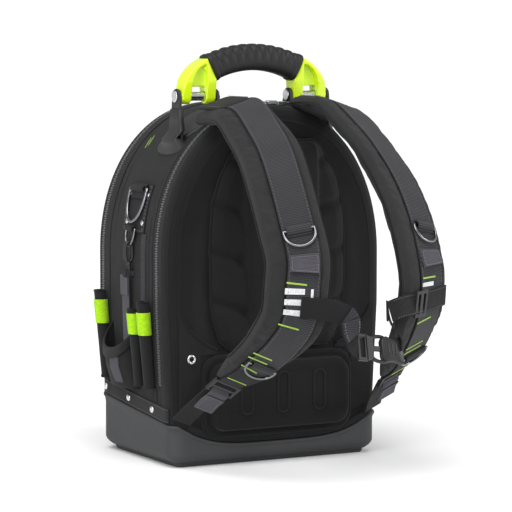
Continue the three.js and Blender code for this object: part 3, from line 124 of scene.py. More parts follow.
def make_stage():
    """A pale floor, a white surround, a soft high light and two softboxes."""
    world = bpy.data.worlds.new("surround")
    world.use_nodes = True
    nodes, links = world.node_tree.nodes, world.node_tree.links
    dim = nodes["Background"]
    dim.inputs["Color"].default_value = (1, 1, 1, 1)
    dim.inputs["Strength"].default_value = 0.5
    white = nodes.new("ShaderNodeBackground")
    white.inputs["Color"].default_value = (1, 1, 1, 1)
    white.inputs["Strength"].default_value = 1.05
    mix = nodes.new("ShaderNodeMixShader")
    links.new(nodes.new("ShaderNodeLightPath").outputs["Is Camera Ray"], mix.inputs["Fac"])
    links.new(dim.outputs[0], mix.inputs[1])
    links.new(white.outputs[0], mix.inputs[2])
    links.new(mix.outputs[0], nodes["World Output"].inputs["Surface"])
    scene.world = world
    scene.view_settings.view_transform = "Standard"
    mesh = bpy.data.meshes.new("floor")
    reach = 40.0
    mesh.from_pydata([(-reach, -reach, 0), (reach, -reach, 0), (reach, reach, 0), (-reach, reach, 0)], [],
                     [(0, 1, 2, 3)])
    floor = bpy.data.objects.new("floor", mesh)
    scene.collection.objects.link(floor)
    pale = bpy.data.materials.new("floor")
    pale.use_nodes = True
    pale.node_tree.nodes["Principled BSDF"].inputs["Base Color"].default_value = (0.93, 0.93, 0.93, 1)
    pale.node_tree.nodes["Principled BSDF"].inputs["Roughness"].default_value = 0.9
    mesh.materials.append(pale)
    data = bpy.data.lights.new("high", "SUN")
    data.energy = 2.5
    data.angle = 0.9
    high = bpy.data.objects.new("high", data)
    scene.collection.objects.link(high)
    high.location = (-1.3, -1.5, 3.4)
    aim(high, (0, 0, 0))
    make_light("left", (-2.4, -1.2, 0.9), 0.9, 20)
    make_light("right", (2.2, -1.6, 1.2), 0.7, 26)


# Materials

class Look:
    """A procedural material, with short calls for its nodes."""

    def __init__(self, name, color, roughness, **inputs):
        self.material = bpy.data.materials.new(name)
        self.material.use_nodes = True
        self.tree = self.material.node_tree
        self.shader = self.tree.nodes["Principled BSDF"]
        self.color = color
        self.bumps = []
        self.shader.inputs["Base Color"].default_value = (*color, 1)
        self.shader.inputs["Roughness"].default_value = roughness
        for key, value in inputs.items():
            self.shader.inputs[key.replace("_", " ").title().replace("Ior", "IOR")].default_value = value
        self.place = self.tree.nodes.new("ShaderNodeTexCoord").outputs["Object"]
        flow = self.tree.nodes.new("ShaderNodeAttribute")
        flow.attribute_name = "flow"
        self.flow = flow.outputs["Vector"]

    def feed(self, socket, value):
        """Links an output to a socket, or sets the socket's value."""
        if isinstance(value, bpy.types.NodeSocket):
            self.tree.links.new(value, socket)
        else:
            socket.default_value = value

    def node(self, kind, settings=None, **inputs):
        node = self.tree.nodes.new(kind)
        for key, value in (settings or {}).items():
            setattr(node, key, value)
        for key, value in inputs.items():
            self.feed(node.inputs[key.replace("_", " ")], value)
        return node

    def math(self, operation, first, second):
        node = self.tree.nodes.new("ShaderNodeMath")
        node.operation = operation
        self.feed(node.inputs[0], first)
        self.feed(node.inputs[1], second)
        return node.outputs[0]

    def noise(self, size, detail=3.0, vector=None):
        """Noise whose lumps are about size metres across, from 0 to 1."""
        return self.node("ShaderNodeTexNoise", Vector=vector or self.place, Scale=1 / size,
                         Detail=detail).outputs["Fac"]

    def wave(self, period, axis, vector=None):
        """A sine wave of a period in metres along an axis, from 0 to 1."""
        settings = {"bands_direction": axis}
        return self.node("ShaderNodeTexWave", settings, Vector=vector or self.flow,
                         Scale=math.pi / (10 * period)).outputs["Fac"]

    def weave(self, pitch, vector=None):
        """The height of a plain weave of yarns of that pitch in metres."""
        vector = vector or self.flow
        checks = self.node("ShaderNodeTexChecker", Vector=vector, Scale=1 / pitch).outputs["Fac"]
        across = self.wave(pitch, "X", vector)
        along = self.wave(pitch, "Y", vector)
        return self.node("ShaderNodeMix", {}, Factor=checks, A=across, B=along).outputs["Result"]

    def bump(self, height, distance, strength=1.0):
        settings = {"Height": height, "Distance": distance, "Strength": strength}
        if self.bumps:
            settings["Normal"] = self.bumps[-1]
        self.bumps.append(self.node("ShaderNodeBump", {}, **settings).outputs["Normal"])
        self.tree.links.new(self.bumps[-1], self.shader.inputs["Normal"])

    def tint(self, *layers):
        """Multiplies the base colour by layers, each a value from 0 to 1 mapped to (low, high)."""
        factor = None
        for value, low, high in layers:
            scaled = self.ranged(value, low, high)
            factor = scaled if factor is None else self.math("MULTIPLY", factor, scaled)
        mix = self.node("ShaderNodeVectorMath", {"operation": "SCALE"})
        mix.inputs[0].default_value = self.color
        self.tree.links.new(factor, mix.inputs["Scale"])
        self.tree.links.new(mix.outputs[0], self.shader.inputs["Base Color"])

    def ranged(self, value, low, high):
        """A value from 0 to 1 mapped to (low, high)."""
        scaled = self.node("ShaderNodeMapRange", {}, Value=value)
        scaled.inputs["To Min"].default_value = low
        scaled.inputs["To Max"].default_value = high
        return scaled.outputs["Result"]

    def rough(self, value, low, high):
        self.tree.links.new(self.ranged(value, low, high), self.shader.inputs["Roughness"])


def fabric(name, color, pitch, roughness=0.78, depth=0.00025, sheen=0.06):
    """Woven nylon: yarns over and under, with slight stains and lighter rubbed places."""
    look = Look(name, color, roughness, sheen_weight=sheen, sheen_roughness=0.5, specular_ior_level=0.16)
    weave = look.weave(pitch)
    broad = look.noise(0.05)
    fine = look.noise(0.0022, 2.0)
    drawn = look.node("ShaderNodeMapping", {}, Vector=look.flow, Scale=(1, 7, 1))
    slubs = look.noise(0.004, 3.0, drawn.outputs[0])
    look.bump(broad, 0.0012, 0.5)
    look.bump(slubs, 0.0004, 0.4)
    look.bump(weave, depth)
    look.bump(fine, 0.0002, 0.5)
    look.tint((weave, 0.6, 1.3), (broad, 0.75, 1.25), (fine, 0.7, 1.3), (slubs, 0.7, 1.3))
    look.rough(fine, roughness - 0.1, roughness + 0.1)
    return look.material


def webbing(name, color, rib, roughness=0.72, sheen=0.08):
    """Webbing: ribs across, fine yarns along, and rubbed lighter places."""
    look = Look(name, color, roughness, sheen_weight=sheen, sheen_roughness=0.45, specular_ior_level=0.16)
    ribs = look.wave(rib, "Y")
    yarns = look.wave(rib * 0.8, "X")
    broad = look.noise(0.03)
    fine = look.noise(0.0016, 2.0)
    look.bump(ribs, 0.0005)
    look.bump(yarns, 0.0002, 0.8)
    look.bump(fine, 0.0002, 0.4)
    look.tint((ribs, 0.62, 1.3), (yarns, 0.8, 1.2), (broad, 0.8, 1.2), (fine, 0.75, 1.25))
    look.rough(fine, roughness - 0.08, roughness + 0.1)
    return look.material


def mesh_cloth(name, color, cell, roughness=0.8):
    """Spacer mesh: rows of small holes in a soft knit."""
    look = Look(name, color, roughness, sheen_weight=0.06, sheen_roughness=0.5, specular_ior_level=0.2)
    holes = look.node("ShaderNodeTexVoronoi", {"feature": "F1"}, Vector=look.flow, Scale=1 / cell,
                      Randomness=0.12)
    broad = look.noise(0.04)
    fine = look.noise(0.0015, 2.0)
    look.bump(broad, 0.001, 0.4)
    look.bump(holes.outputs["Distance"], 0.0004)
    look.tint((holes.outputs["Distance"], 0.5, 1.5), (broad, 0.8, 1.2), (fine, 0.85, 1.15))
    return look.material


def rubber(name, color, grain, roughness=0.62, edge_wear_and_crease_shade=0.12):
    """Moulded rubber: a fine pebbled grain, dull marks, edges rubbed lighter, and painted shade darkening
    its creases.
    """
    look = Look(name, color, roughness, specular_ior_level=0.4)
    pebbles = look.node("ShaderNodeTexVoronoi", {"feature": "F1"}, Vector=look.place, Scale=1 / grain)
    broad = look.noise(0.06)
    marks = look.noise(0.008, 6.0)
    # Pointiness tint: convex edges come out lighter as wear, and hollows and creases darker as painted
    # shade.
    edges = look.node("ShaderNodeNewGeometry").outputs["Pointiness"]
    look.bump(pebbles.outputs["Distance"], 0.00018, 0.7)
    look.bump(marks, 0.0003, 0.3)
    look.tint((broad, 0.85, 1.15), (marks, 0.9, 1.1), (edges, 1 - 2 * edge_wear_and_crease_shade, 1 + 2 * edge_wear_and_crease_shade))
    look.rough(marks, roughness - 0.08, roughness + 0.12)
    return look.material


def plastic(name, color, roughness=0.42, glow=0.0, coat=0.0):
    """Moulded nylon or acetal: a faint orange peel, fine scratches, edges rubbed lighter, and painted shade
    darkening its creases.
    """
    look = Look(name, color, roughness, specular_ior_level=0.5, coat_weight=coat, coat_roughness=0.15,
                subsurface_weight=glow, subsurface_radius=(0.01, 0.01, 0.002))
    peel = look.noise(0.0016, 1.0)
    broad = look.noise(0.03)
    stretched = look.node("ShaderNodeMapping", {}, Vector=look.place, Scale=(30, 900, 900))
    scratches = look.noise(0.5, 4.0, stretched.outputs["Vector"])
    # Pointiness tint: convex edges come out lighter as wear, and hollows and creases darker as painted
    # shade.
    edges = look.node("ShaderNodeNewGeometry").outputs["Pointiness"]
    look.bump(peel, 0.00006, 0.6)
    look.bump(scratches, 0.00005, 0.3)
    look.tint((broad, 0.93, 1.07), (scratches, 0.96, 1.04), (edges, 0.85, 1.15))
    look.rough(scratches, roughness - 0.07, roughness + 0.1)
    return look.material


def steel(name, color, roughness=0.24, brushed=(40, 40, 900)):
    """Polished or plated steel with fine brush marks and duller spots."""
    look = Look(name, color, roughness, metallic=1.0)
    stretched = look.node("ShaderNodeMapping", {}, Vector=look.place, Scale=brushed)
    marks = look.noise(0.5, 4.0, stretched.outputs["Vector"])
    spots = look.noise(0.006, 4.0)
    look.bump(marks, 0.00004, 0.4)
    look.tint((marks, 0.88, 1.1), (spots, 0.85, 1.1))
    look.rough(spots, roughness - 0.08, roughness + 0.14)
    return look.material


def thread(name, color):
    """Sewing thread with its twist."""
    look = Look(name, color, 0.55, sheen_weight=0.2)
    twist = look.wave(0.0008, "DIAGONAL", look.place)
    fine = look.noise(0.001)
    look.bump(twist, 0.00015)
    look.tint((twist, 0.75, 1.15), (fine, 0.85, 1.15))
    return look.material


LOOKS = {
    "nylon": (fabric("nylon", (0.009, 0.009, 0.010), 0.0013), "bag_fabric"),
    # The bag nylon again, made lighter for the gusset, front face and pouch: painted light, for sides that
    # catch more light than the shaded rear face.
    "lit_side_nylon": (fabric("lit_side_nylon", (0.012, 0.012, 0.013), 0.0013), "bag_fabric"),
    "binding": (webbing("binding", (0.008, 0.008, 0.009), 0.0012), "black_webbing"),
    "web": (webbing("web", (0.010, 0.010, 0.011), 0.0016), "black_webbing"),
    "strap_web": (webbing("strap_web", (0.036, 0.036, 0.040), 0.0020), "strap_fabric"),
    "strap_cloth": (fabric("strap_cloth", (0.024, 0.024, 0.025), 0.0011), "strap_fabric"),
    "strap_lining": (mesh_cloth("strap_lining", (0.012, 0.012, 0.013), 0.0028), "strap_fabric"),
    "foam": (mesh_cloth("foam", (0.008, 0.008, 0.009), 0.0024), "back_foam"),
    "foam_edge": (fabric("foam_edge", (0.011, 0.011, 0.012), 0.001), "back_foam"),
    "zip_tape": (webbing("zip_tape", (0.011, 0.011, 0.012), 0.0009), "zip_tape"),
    "zip_coil": (plastic("zip_coil", (0.11, 0.11, 0.115), 0.35), "zip_tape"),
    "grey_web": (webbing("grey_web", (0.078, 0.074, 0.088), 0.0013), "grey_webbing"),
    "dark_grey_web": (webbing("dark_grey_web", (0.03, 0.029, 0.034), 0.002), "grey_webbing"),
    "lime_cloth": (fabric("lime_cloth", (0.4, 0.74, 0.008), 0.0012, sheen=0.1), "lime_fabric"),
    "sleeve_cloth": (fabric("sleeve_cloth", (0.014, 0.014, 0.015), 0.0013), "lime_fabric"),
    "base": (rubber("base", (0.036, 0.037, 0.039), 0.0011), "base_rubber"),
    "grip": (rubber("grip", (0.007, 0.007, 0.0075), 0.0009, 0.55), "grip_rubber"),
    "lime_plastic": (plastic("lime_plastic", (0.68, 0.92, 0.01), 0.3, glow=0.15, coat=0.4), "lime_plastic"),
    "plastic": (plastic("plastic", (0.01, 0.01, 0.011)), "black_plastic"),
    "saddle": (plastic("saddle", (0.014, 0.014, 0.015), 0.5), "black_plastic"),
    "steel": (steel("steel", (0.7, 0.71, 0.73)), "bright_steel"),
    "ring_steel": (steel("ring_steel", (0.22, 0.22, 0.235), 0.22, (900, 40, 40)), "dark_chrome"),
    "black_thread": (thread("black_thread", (0.075, 0.075, 0.08)), "black_webbing"),
    "lime_thread": (thread("lime_thread", (0.4, 0.63, 0.07)), "lime_fabric"),
    "grey_thread": (thread("grey_thread", (0.16, 0.15, 0.18)), "grey_webbing"),
    "reflective": (fabric("reflective", (0.72, 0.74, 0.75), 0.0006, 0.45, 0.0001, 0.0), "strap_fabric"),
}


# Meshes

def unit(vectors):
    return vectors / np.linalg.norm(vectors, axis=-1, keepdims=True)


def tangents(path, closed=False):
    if closed:
        return unit(np.roll(path, -1, axis=0) - np.roll(path, 1, axis=0))
    return unit(np.gradient(path, axis=0))


def lengths(path):
    steps = np.linalg.norm(np.diff(path, axis=0), axis=1)
    return np.concatenate([[0.0], np.cumsum(steps)])


def at_places(places, run, rows):
    """Rows of a table, read between its rows at places along its run."""
    rows = np.asarray(rows)
    return np.stack([np.interp(places, run, rows[:, k]) for k in range(rows.shape[1])], axis=-1)


def resample(path, count):
    """The same path with evenly spaced points."""
    along = lengths(path)
    return at_places(np.linspace(0, along[-1], count), along, path)


def bent(value, power):
    """A sine or cosine with its sign kept, whose curve is squared off by a power below 1."""
    return np.sign(value) * np.abs(value) ** power


def smooth_path(points, count):
    """A smooth curve through points, evenly spaced."""
    points = np.asarray(points, float)
    ends = np.vstack([2 * points[0] - points[1], points, 2 * points[-1] - points[-2]])
    out = []
    for p0, p1, p2, p3 in zip(ends, ends[1:], ends[2:], ends[3:]):
        d0, d1, d2 = [max(np.linalg.norm(b - a) ** 0.5, 1e-6) for a, b in ((p0, p1), (p1, p2), (p2, p3))]
        t1 = ((p1 - p0) / d0 - (p2 - p0) / (d0 + d1) + (p2 - p1) / d1) * d1
        t2 = ((p2 - p1) / d1 - (p3 - p1) / (d1 + d2) + (p3 - p2) / d2) * d1
        s = np.linspace(0, 1, 60, endpoint=False)[:, None]
        square = (-3 * p1 + 3 * p2 - 2 * t1 - t2) * s ** 2
        out.append(p1 + t1 * s + square + (2 * p1 - 2 * p2 + t1 + t2) * s ** 3)
    return resample(np.vstack(out + [points[-1:]]), count)


def soft_noise(points, size, seed=0.0):
    """Smooth noise from -1 to 1 at points, with lumps of that size."""
    return np.array([noise.noise(Vector((p[0] / size + seed, p[1] / size, p[2] / size))) for p in points])


class Shape:
    """Collects points and faces for one piece."""

    def __init__(self):
        self.points = []
        self.faces = []
        self.flow = []
        self.count = 0

    def add(self, points, faces, flow=None):
        points = np.asarray(points, float).reshape(-1, 3)
        flow = points if flow is None else np.asarray(flow, float).reshape(-1, 3)
        self.points.append(points)
        self.flow.append(flow)
        self.faces.extend([tuple(int(i) + self.count for i in face) for face in faces])
        self.count += len(points)
        return self

    def grid(self, rows, wrap=False, loop=False, caps=False, flow=None):
        """A surface through equal rows. wrap joins each row's ends, loop joins the last row to the first."""
        rows = np.asarray(rows, float)
        n, m = rows.shape[:2]
        if flow is None:
            across = np.linalg.norm(np.diff(rows, axis=1, append=rows[:, :1]), axis=2)
            across = np.cumsum(across, axis=1) - across
            along = lengths(rows.mean(axis=1))
            flow = np.stack([across, np.repeat(along[:, None], m, axis=1), np.zeros((n, m))], axis=2)
        i = np.arange(n if loop else n - 1)[:, None]
        j = np.arange(m if wrap else m - 1)[None, :]
        a, b = i * m + j, i * m + (j + 1) % m
        c, d = ((i + 1) % n) * m + (j + 1) % m, ((i + 1) % n) * m + j
        faces = np.stack([a, b, c, d], axis=-1).reshape(-1, 4).tolist()
        if caps:
            faces.append(list(range(m))[::-1])
            faces.append([(n - 1) * m + k for k in range(m)])
        return self.add(rows, faces, flow)

    def sweep(self, path, out, section, closed=False, side=None):
        """A section run along a path. Each section point is (across, lift along out)."""
        path = np.asarray(path, float)
        along = tangents(path, closed)
        out = np.broadcast_to(np.asarray(out, float), path.shape)
        if side is None:
            side = unit(np.cross(along, out))
            out = unit(np.cross(side, along))
        section = np.asarray(section, float)
        if section.ndim == 2:
            section = np.broadcast_to(section, (len(path), *section.shape))
        rows = (path[:, None] + side[:, None] * section[..., :1] + out[:, None] * section[..., 1:])
        run = lengths(path)
        flow = np.concatenate([section, np.zeros((*section.shape[:2], 1))], axis=2)
        flow[..., 1] = run[:, None]
        return self.grid(rows, wrap=True, loop=closed, caps=not closed, flow=flow)

    def tube(self, path, radius, sides=8, closed=False, out=(0.123, 0.456, 0.881)):
        """A round tube along a path."""
        path = np.asarray(path, float)
        along = tangents(path, closed)
        out = np.asarray(out, float)
        normals = []
        for direction in along:
            out = out - direction * out.dot(direction)
            out = out / np.linalg.norm(out)
            normals.append(out)
        normals = np.array(normals)
        radius = np.broadcast_to(np.asarray(radius, float), (len(path),))
        turn = np.arange(sides) * 2 * math.pi / sides
        section = radius[:, None, None] * np.stack([np.cos(turn), np.sin(turn)], axis=1)[None]
        return self.sweep(path, normals, section, closed, np.cross(along, normals))

    def stitches(self, path, out, pitch=4.6, length=3.1, radius=0.36):
        """Dashes of thread that lie on a surface along a path."""
        path = np.asarray(path, float)
        out = np.broadcast_to(np.asarray(out, float), path.shape)
        run = lengths(path)
        count = max(1, int(run[-1] / pitch))
        for start in (np.arange(count) + 0.5) * run[-1] / count - length / 2:
            places = start + length * np.array([0.0, 0.18, 0.82, 1.0])
            middle = at_places(places, run, path)
            normal = unit(at_places(places[1], run, out))
            middle = middle + normal * radius * np.array([-0.6, 0.5, 0.5, -0.6])[:, None]
            self.tube(middle, [0.5 * radius, radius, radius, 0.5 * radius], 5, False, normal)
        return self

    def block(self, centre, x_axis, y_axis, z_axis, size):
        """A box with bevelled long edges, by its middle, axes and sizes."""
        centre = np.asarray(centre, float)
        axes = [unit(np.asarray(a, float)) for a in (x_axis, y_axis, z_axis)]
        hx, hy, hz = np.asarray(size) / 2
        c = 0.28 * min(hy, hz)
        ring = [(-hy + c, -hz), (hy - c, -hz), (hy, -hz + c), (hy, hz - c), (hy - c, hz), (-hy + c, hz),
                (-hy, hz - c), (-hy, -hz + c)]
        rows = [[centre + axes[0] * x + axes[1] * y * k + axes[2] * z * k for y, z in ring]
                for x, k in ((-hx, 0.8), (-hx + c, 1.0), (hx - c, 1.0), (hx, 0.8))]
        return self.grid(rows, wrap=True, caps=True)

    def dome(self, centre, axis, profile, sides=20):
        """A turned shape: profile rows are (radius, height along the axis)."""
        axis = unit(np.asarray(axis, float))
        helper = np.array([0.0, 0.0, 1.0]) if abs(axis[2]) < 0.9 else np.array([1.0, 0.0, 0.0])
        u = unit(np.cross(axis, helper))
        v = np.cross(axis, u)
        turn = np.arange(sides) * 2 * math.pi / sides
        rows = [[np.asarray(centre) + axis * h + (u * math.cos(t) + v * math.sin(t)) * r for t in turn]
                for r, h in profile]
        return self.grid(rows, wrap=True, caps=True)

    def piece(self, name, look, body="bag", stands_for=(), sharp=40.0):
        """Makes the object, which rides on a body and may stand for nodes of the model."""
        mesh = bpy.data.meshes.new(name)
        points = np.concatenate(self.points) * MM
        mesh.from_pydata(points.tolist(), [], self.faces)
        attribute = mesh.attributes.new("flow", "FLOAT_VECTOR", "POINT")
        attribute.data.foreach_set("vector", (np.concatenate(self.flow) * MM).ravel())
        mesh.update()
        mesh.shade_smooth()
        if sharp:
            mesh.set_sharp_from_angle(angle=math.radians(sharp))
        item = bpy.data.objects.new(name, mesh)
        scene.collection.objects.link(item)
        material, slot = LOOKS[look]
        mesh.materials.append(material)
        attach(item, body)
        if stands_for:
            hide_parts(*stands_for)
        return item


def thicken(item, wall, offset):
    """Gives an open surface a wall."""
    solid = item.modifiers.new("wall", "SOLIDIFY")
    solid.thickness = wall * MM
    solid.offset = offset


def strip_section(width, thickness, count=7, edge=0.6):
    """A flat band's section: (across, lift) with rounded edges, lift from 0 up."""
    half = width / 2
    top = [(x, thickness) for x in np.linspace(half - edge, -half + edge, count)]
    bottom = [(x, 0.0) for x in np.linspace(-half + edge, half - edge, count)]
    return top + [(-half, 0.7 * thickness), (-half, 0.3 * thickness)] + bottom + [
        (half, 0.3 * thickness), (half, 0.7 * thickness)]


# The arched bag

def side_half_width(z):
    return HALF_WIDTH * np.interp(z, SIDE_HEIGHTS, SIDE_WIDTHS)


def dome_slope(x, z):
    """The dome's outward normal at places (x, z), for x from 0 up."""
    return unit(np.stack([(x / HALF_WIDTH) ** (POWER - 1) / HALF_WIDTH,
                          ((z - SPRING) / RISE) ** (POWER - 1) / RISE], axis=-1))


def arch(lift=0.0, foot=BODY_FOOT, count=260):
    """Right foot to left foot over the top: points (x, z), outward normals and the run."""
    heights = np.linspace(foot, SPRING, 90)[:-1]
    side = np.column_stack([side_half_width(heights), heights])
    turn = np.linspace(0, math.pi / 2, 200)
    cos, sin = np.cos(turn).clip(0), np.sin(turn)
    dome = np.column_stack([HALF_WIDTH * cos ** (2 / POWER), SPRING + RISE * sin ** (2 / POWER)])
    right = np.vstack([side, dome])
    normal = np.vstack([np.tile([1.0, 0.0], (len(side), 1)), dome_slope(dome[:, 0], dome[:, 1])])
    points = np.vstack([right, (right[:-1] * [-1, 1])[::-1]])
    normals = np.vstack([normal, (normal[:-1] * [-1, 1])[::-1]])
    both = resample(np.column_stack([points, normals]), count)
    normals = unit(both[:, 2:])
    return both[:, :2] + normals * lift, normals, lengths(both[:, :2])


def arch_path(y, lift, foot=BODY_FOOT, count=260):
    points, normals, _ = arch(lift, foot, count)
    path = np.column_stack([points[:, 0], np.full(len(points), y), points[:, 1]])
    out = np.column_stack([normals[:, 0], np.zeros(len(points)), normals[:, 1]])
    return path, out


def shell(name, rows, inward, look, stands_for, face_y=None, bulge=0.0, amount=0.9):
    """Part of the bag from rows of (y, lift). With face_y it is closed by a face and a floor at its foot."""
    surface = []
    for y, lift in rows:
        path, out = arch_path(y, lift)
        surface.append(path)
    if face_y is not None:
        share = np.linspace(0, 1, FLOOR_POINTS + 2)[1:-1, None]
        surface = [np.vstack([path, path[-1] * (1 - share) + path[0] * share]) for path in surface]
        out = np.vstack([out, np.tile([0.0, 0.0, -1.0], (FLOOR_POINTS, 1))])
    surface = np.array(surface)
    normals = np.broadcast_to(out, surface.shape).copy()
    if face_y is not None:
        normals[-3:, :, :] = [0, np.sign(face_y), 0]
        middle = np.array([0.0, face_y, 205.0])
        rim = surface[-1]
        extra = []
        for k in np.linspace(0.96, 0.004, 27):
            ring = middle + (rim - middle) * k
            climb = np.clip((ring[:, 2] - BODY_FOOT - CROWN_START) / CROWN_CLIMB, 0, 1)
            rise = np.clip((1 - k) / CROWN_RUN, 0, 1) * climb
            ring[:, 1] = face_y + bulge * rise * rise * (3 - 2 * rise)
            extra.append(ring)
        extra = np.array(extra)
        surface = np.concatenate([surface, extra])
        normals = np.concatenate([normals, np.broadcast_to([0, np.sign(face_y), 0], extra.shape)])
    flat = surface.reshape(-1, 3)
    dents = 0.6 * soft_noise(flat, 55.0) + 0.4 * soft_noise(flat, 21.0, 7.0)
    sink = amount * (0.5 + 0.5 * dents)
    for seam in (REAR_ZIP, FRONT_ZIP):
        near = np.exp(-np.abs(flat[:, 1] - seam) / 9.0)
        pucker = np.sin(flat[:, 2] * 0.62 + 2.5 * soft_noise(flat, 30.0, 3.0)) * np.cos(flat[:, 0] * 0.2)
        sink = sink + 0.35 * near * (1 + pucker)
    flat = flat - normals.reshape(-1, 3) * sink[:, None]
    shape = Shape().grid(flat.reshape(surface.shape), wrap=face_y is not None)
    item = shape.piece(name, look, stands_for=stands_for, sharp=0)
    thicken(item, 1.6, inward)


def rounded_rows(face, direction, radius, steps=9):
    """Rows of (y, lift) round an edge, from the gusset to the face."""
    turns = np.linspace(math.pi / 2, 0, steps)
    return [(face + direction * radius * (1 - math.cos(t)), -radius * (1 - math.sin(t))) for t in turns]


def make_shells():
    seam = 0.15
    rear = [(y, 0.0) for y in np.linspace(REAR_ZIP - seam, REAR + REAR_ROUND + 1, 5)] + rounded_rows(
        REAR, 1, REAR_ROUND)
    shell("rear_panel", rear, 1, "nylon", ["rear_cover"], REAR, 0.0, 0.4)
    front = [(y, 0.0) for y in np.linspace(FRONT_ZIP + seam, FRONT - FRONT_ROUND - 0.5, 3)] + rounded_rows(
        FRONT, -1, FRONT_ROUND, 12)
    shell("front_panel", front, -1, "lit_side_nylon", ["front_cover"], FRONT, BULGE, 0.9)
    middle = [(y, 0.0) for y in np.linspace(REAR_ZIP + seam, FRONT_ZIP - seam, 46)]
    shell("gusset", middle, -1, "lit_side_nylon", ["centre_band"], amount=1.5)


def make_piping():
    """Corded seams round both faces, and rows of stitches beside the seams and zips."""
    cords = Shape()
    for y, lift, radius in ((REAR - 0.2, -REAR_ROUND - 1.0, 1.7), (REAR + 4.5, -4.5, 1.5),
                            (FRONT - 8.0, -8.6, 1.8)):
        path, out = arch_path(y, lift, 26.0)
        cords.tube(path, radius, 8)
    cords.piece("seam_piping", "binding", sharp=0)
    rows = Shape()
    lines = [(REAR_ZIP + 17.5, 0.0), (REAR_ZIP + 21.0, 0.0), (REAR_ZIP - 7.4, 0.0), (FRONT_ZIP - 17.5, 0.0),
             (FRONT_ZIP - 21.0, 0.0)]
    for y, lift in lines:
        path, out = arch_path(y, lift - 0.3, 78.0, 400)
        rows.stitches(path, out)
    path, out = arch_path(REAR - 0.1, -REAR_ROUND - 5.5, 60.0, 400)
    rows.stitches(path, np.array([0, -1.0, 0]))
    path, out = arch_path(FRONT_ZIP + 17.5, -2.6, 100.0, 400)
    rows.stitches(path, out)
    rows.piece("seam_stitches", "black_thread", sharp=0)


def make_facings():
    """Flat binding beside the zips, and the seams of the side's panels."""
    for y, word in ((REAR_ZIP + 15.0, "rear"), (FRONT_ZIP - 15.0, "front")):
        path, out = arch_path(y, 0.1, 78.0, 300)
        facing = Shape().sweep(path, out, strip_section(6.5, 1.5, 7))
        facing.piece(f"zip_facing_{word}", "binding", sharp=50)
    cords = Shape()
    rows = Shape()
    for y, low, high in ((-55.0, 96.0, 372.0), (42.0, 96.0, 372.0)):
        frames = [side_frame(z, y, 0.0) for z in np.linspace(low, high, 90)]
        path, out = np.array([f[0] for f in frames]), np.array([f[1] for f in frames])
        cords.tube(path, 1.0, 8)
        rows.stitches(path + [0, 4.0, 0], out)
        rows.stitches(path - [0, 4.0, 0], out)
    for z in (198.0, 268.0):
        point, out = side_frame(z, 0.0, 0.0)
        path = np.array([point + [0, y, 0] for y in np.linspace(-55, 42, 60)])
        cords.tube(path, 0.9, 8)
        rows.stitches(path - [0, 0, 3.6], out)
    cords.piece("side_seams", "binding", sharp=0)
    rows.piece("side_seam_stitches", "black_thread", sharp=0)


def make_zip(name, y, node):
    """A woven tape with a coil of teeth along its middle."""
    half = 11.5
    section = [(-half, 0.0), (-half, 0.8), (-4.0, 1.3), (-3.2, 0.7), (3.2, 0.7), (4.0, 1.3), (half, 0.8),
               (half, 0.0)]
    path, out = arch_path(y, 0.35, ZIP_FOOT, 300)
    tape = Shape().sweep(path, out, section)
    tape.piece(f"{name}_tape", "zip_tape", sharp=50)
    path, out = arch_path(y, 1.1, ZIP_FOOT + 1, 700)
    run = lengths(path)
    pitch = 3.0
    count = int(run[-1] / pitch)
    coil = Shape()
    for i in range(count):
        place = (i + 0.5) * pitch
        centre = at_places(place, run, path)
        normal = unit(at_places(place, run, out))
        along = np.cross(normal, [0, 1.0, 0])
        shift = 0.55 if i % 2 else -0.55
        coil.block(centre + np.array([0, shift, 0]) + normal * 0.5, (0, 1, 0), along, normal,
                   (5.2, 1.7, 1.8))
    coil.piece(f"{name}_coil", "zip_coil", stands_for=[node], sharp=30)


# Base

def plan(z, lift, corner_steps=12, side_steps=26):
    """A plan ring round the bag at one height, from the rear right corner: points and normals (x, y)."""
    width = float(side_half_width(z)) + lift
    corners = [(width, REAR - lift, REAR_ROUND + lift, -90), (width, FRONT + lift, FRONT_ROUND + lift, 0),
               (-width, FRONT + lift, FRONT_ROUND + lift, 90),
               (-width, REAR - lift, REAR_ROUND + lift, 180)]
    arcs = []
    for x, y, radius, start in corners:
        radius = max(radius, 0.4)
        centre = np.array([x - math.copysign(radius, x), y - math.copysign(radius, y)])
        turn = np.radians(start + np.linspace(0, 90, corner_steps))
        normal = np.column_stack([np.cos(turn), np.sin(turn)])
        arcs.append((centre + radius * normal, normal))
    points, normals = [], []
    for k, (arc, normal) in enumerate(arcs):
        after = arcs[(k + 1) % 4][0][0]
        share = np.linspace(0, 1, side_steps + 1)[1:-1, None]
        points += [arc, arc[-1] + (after - arc[-1]) * share]
        normals += [normal, np.repeat(normal[-1:], side_steps - 1, axis=0)]
    return np.vstack(points), np.vstack(normals)


def rim(x, y):
    """Height of the base's edge: it slopes up to the front and dips on the worn side."""
    slope = RIM_REAR + (RIM_FRONT - RIM_REAR) * (y - REAR) / (FRONT - REAR)
    dip = SCOOP_LOW + (RIM_REAR - SCOOP_LOW) * np.minimum(np.abs(x) / SCOOP_HALF, 1) ** SCOOP_POWER
    worn = np.clip((REAR + REAR_ROUND - y) / 8, 0, 1)
    return slope * (1 - worn) + dip * worn


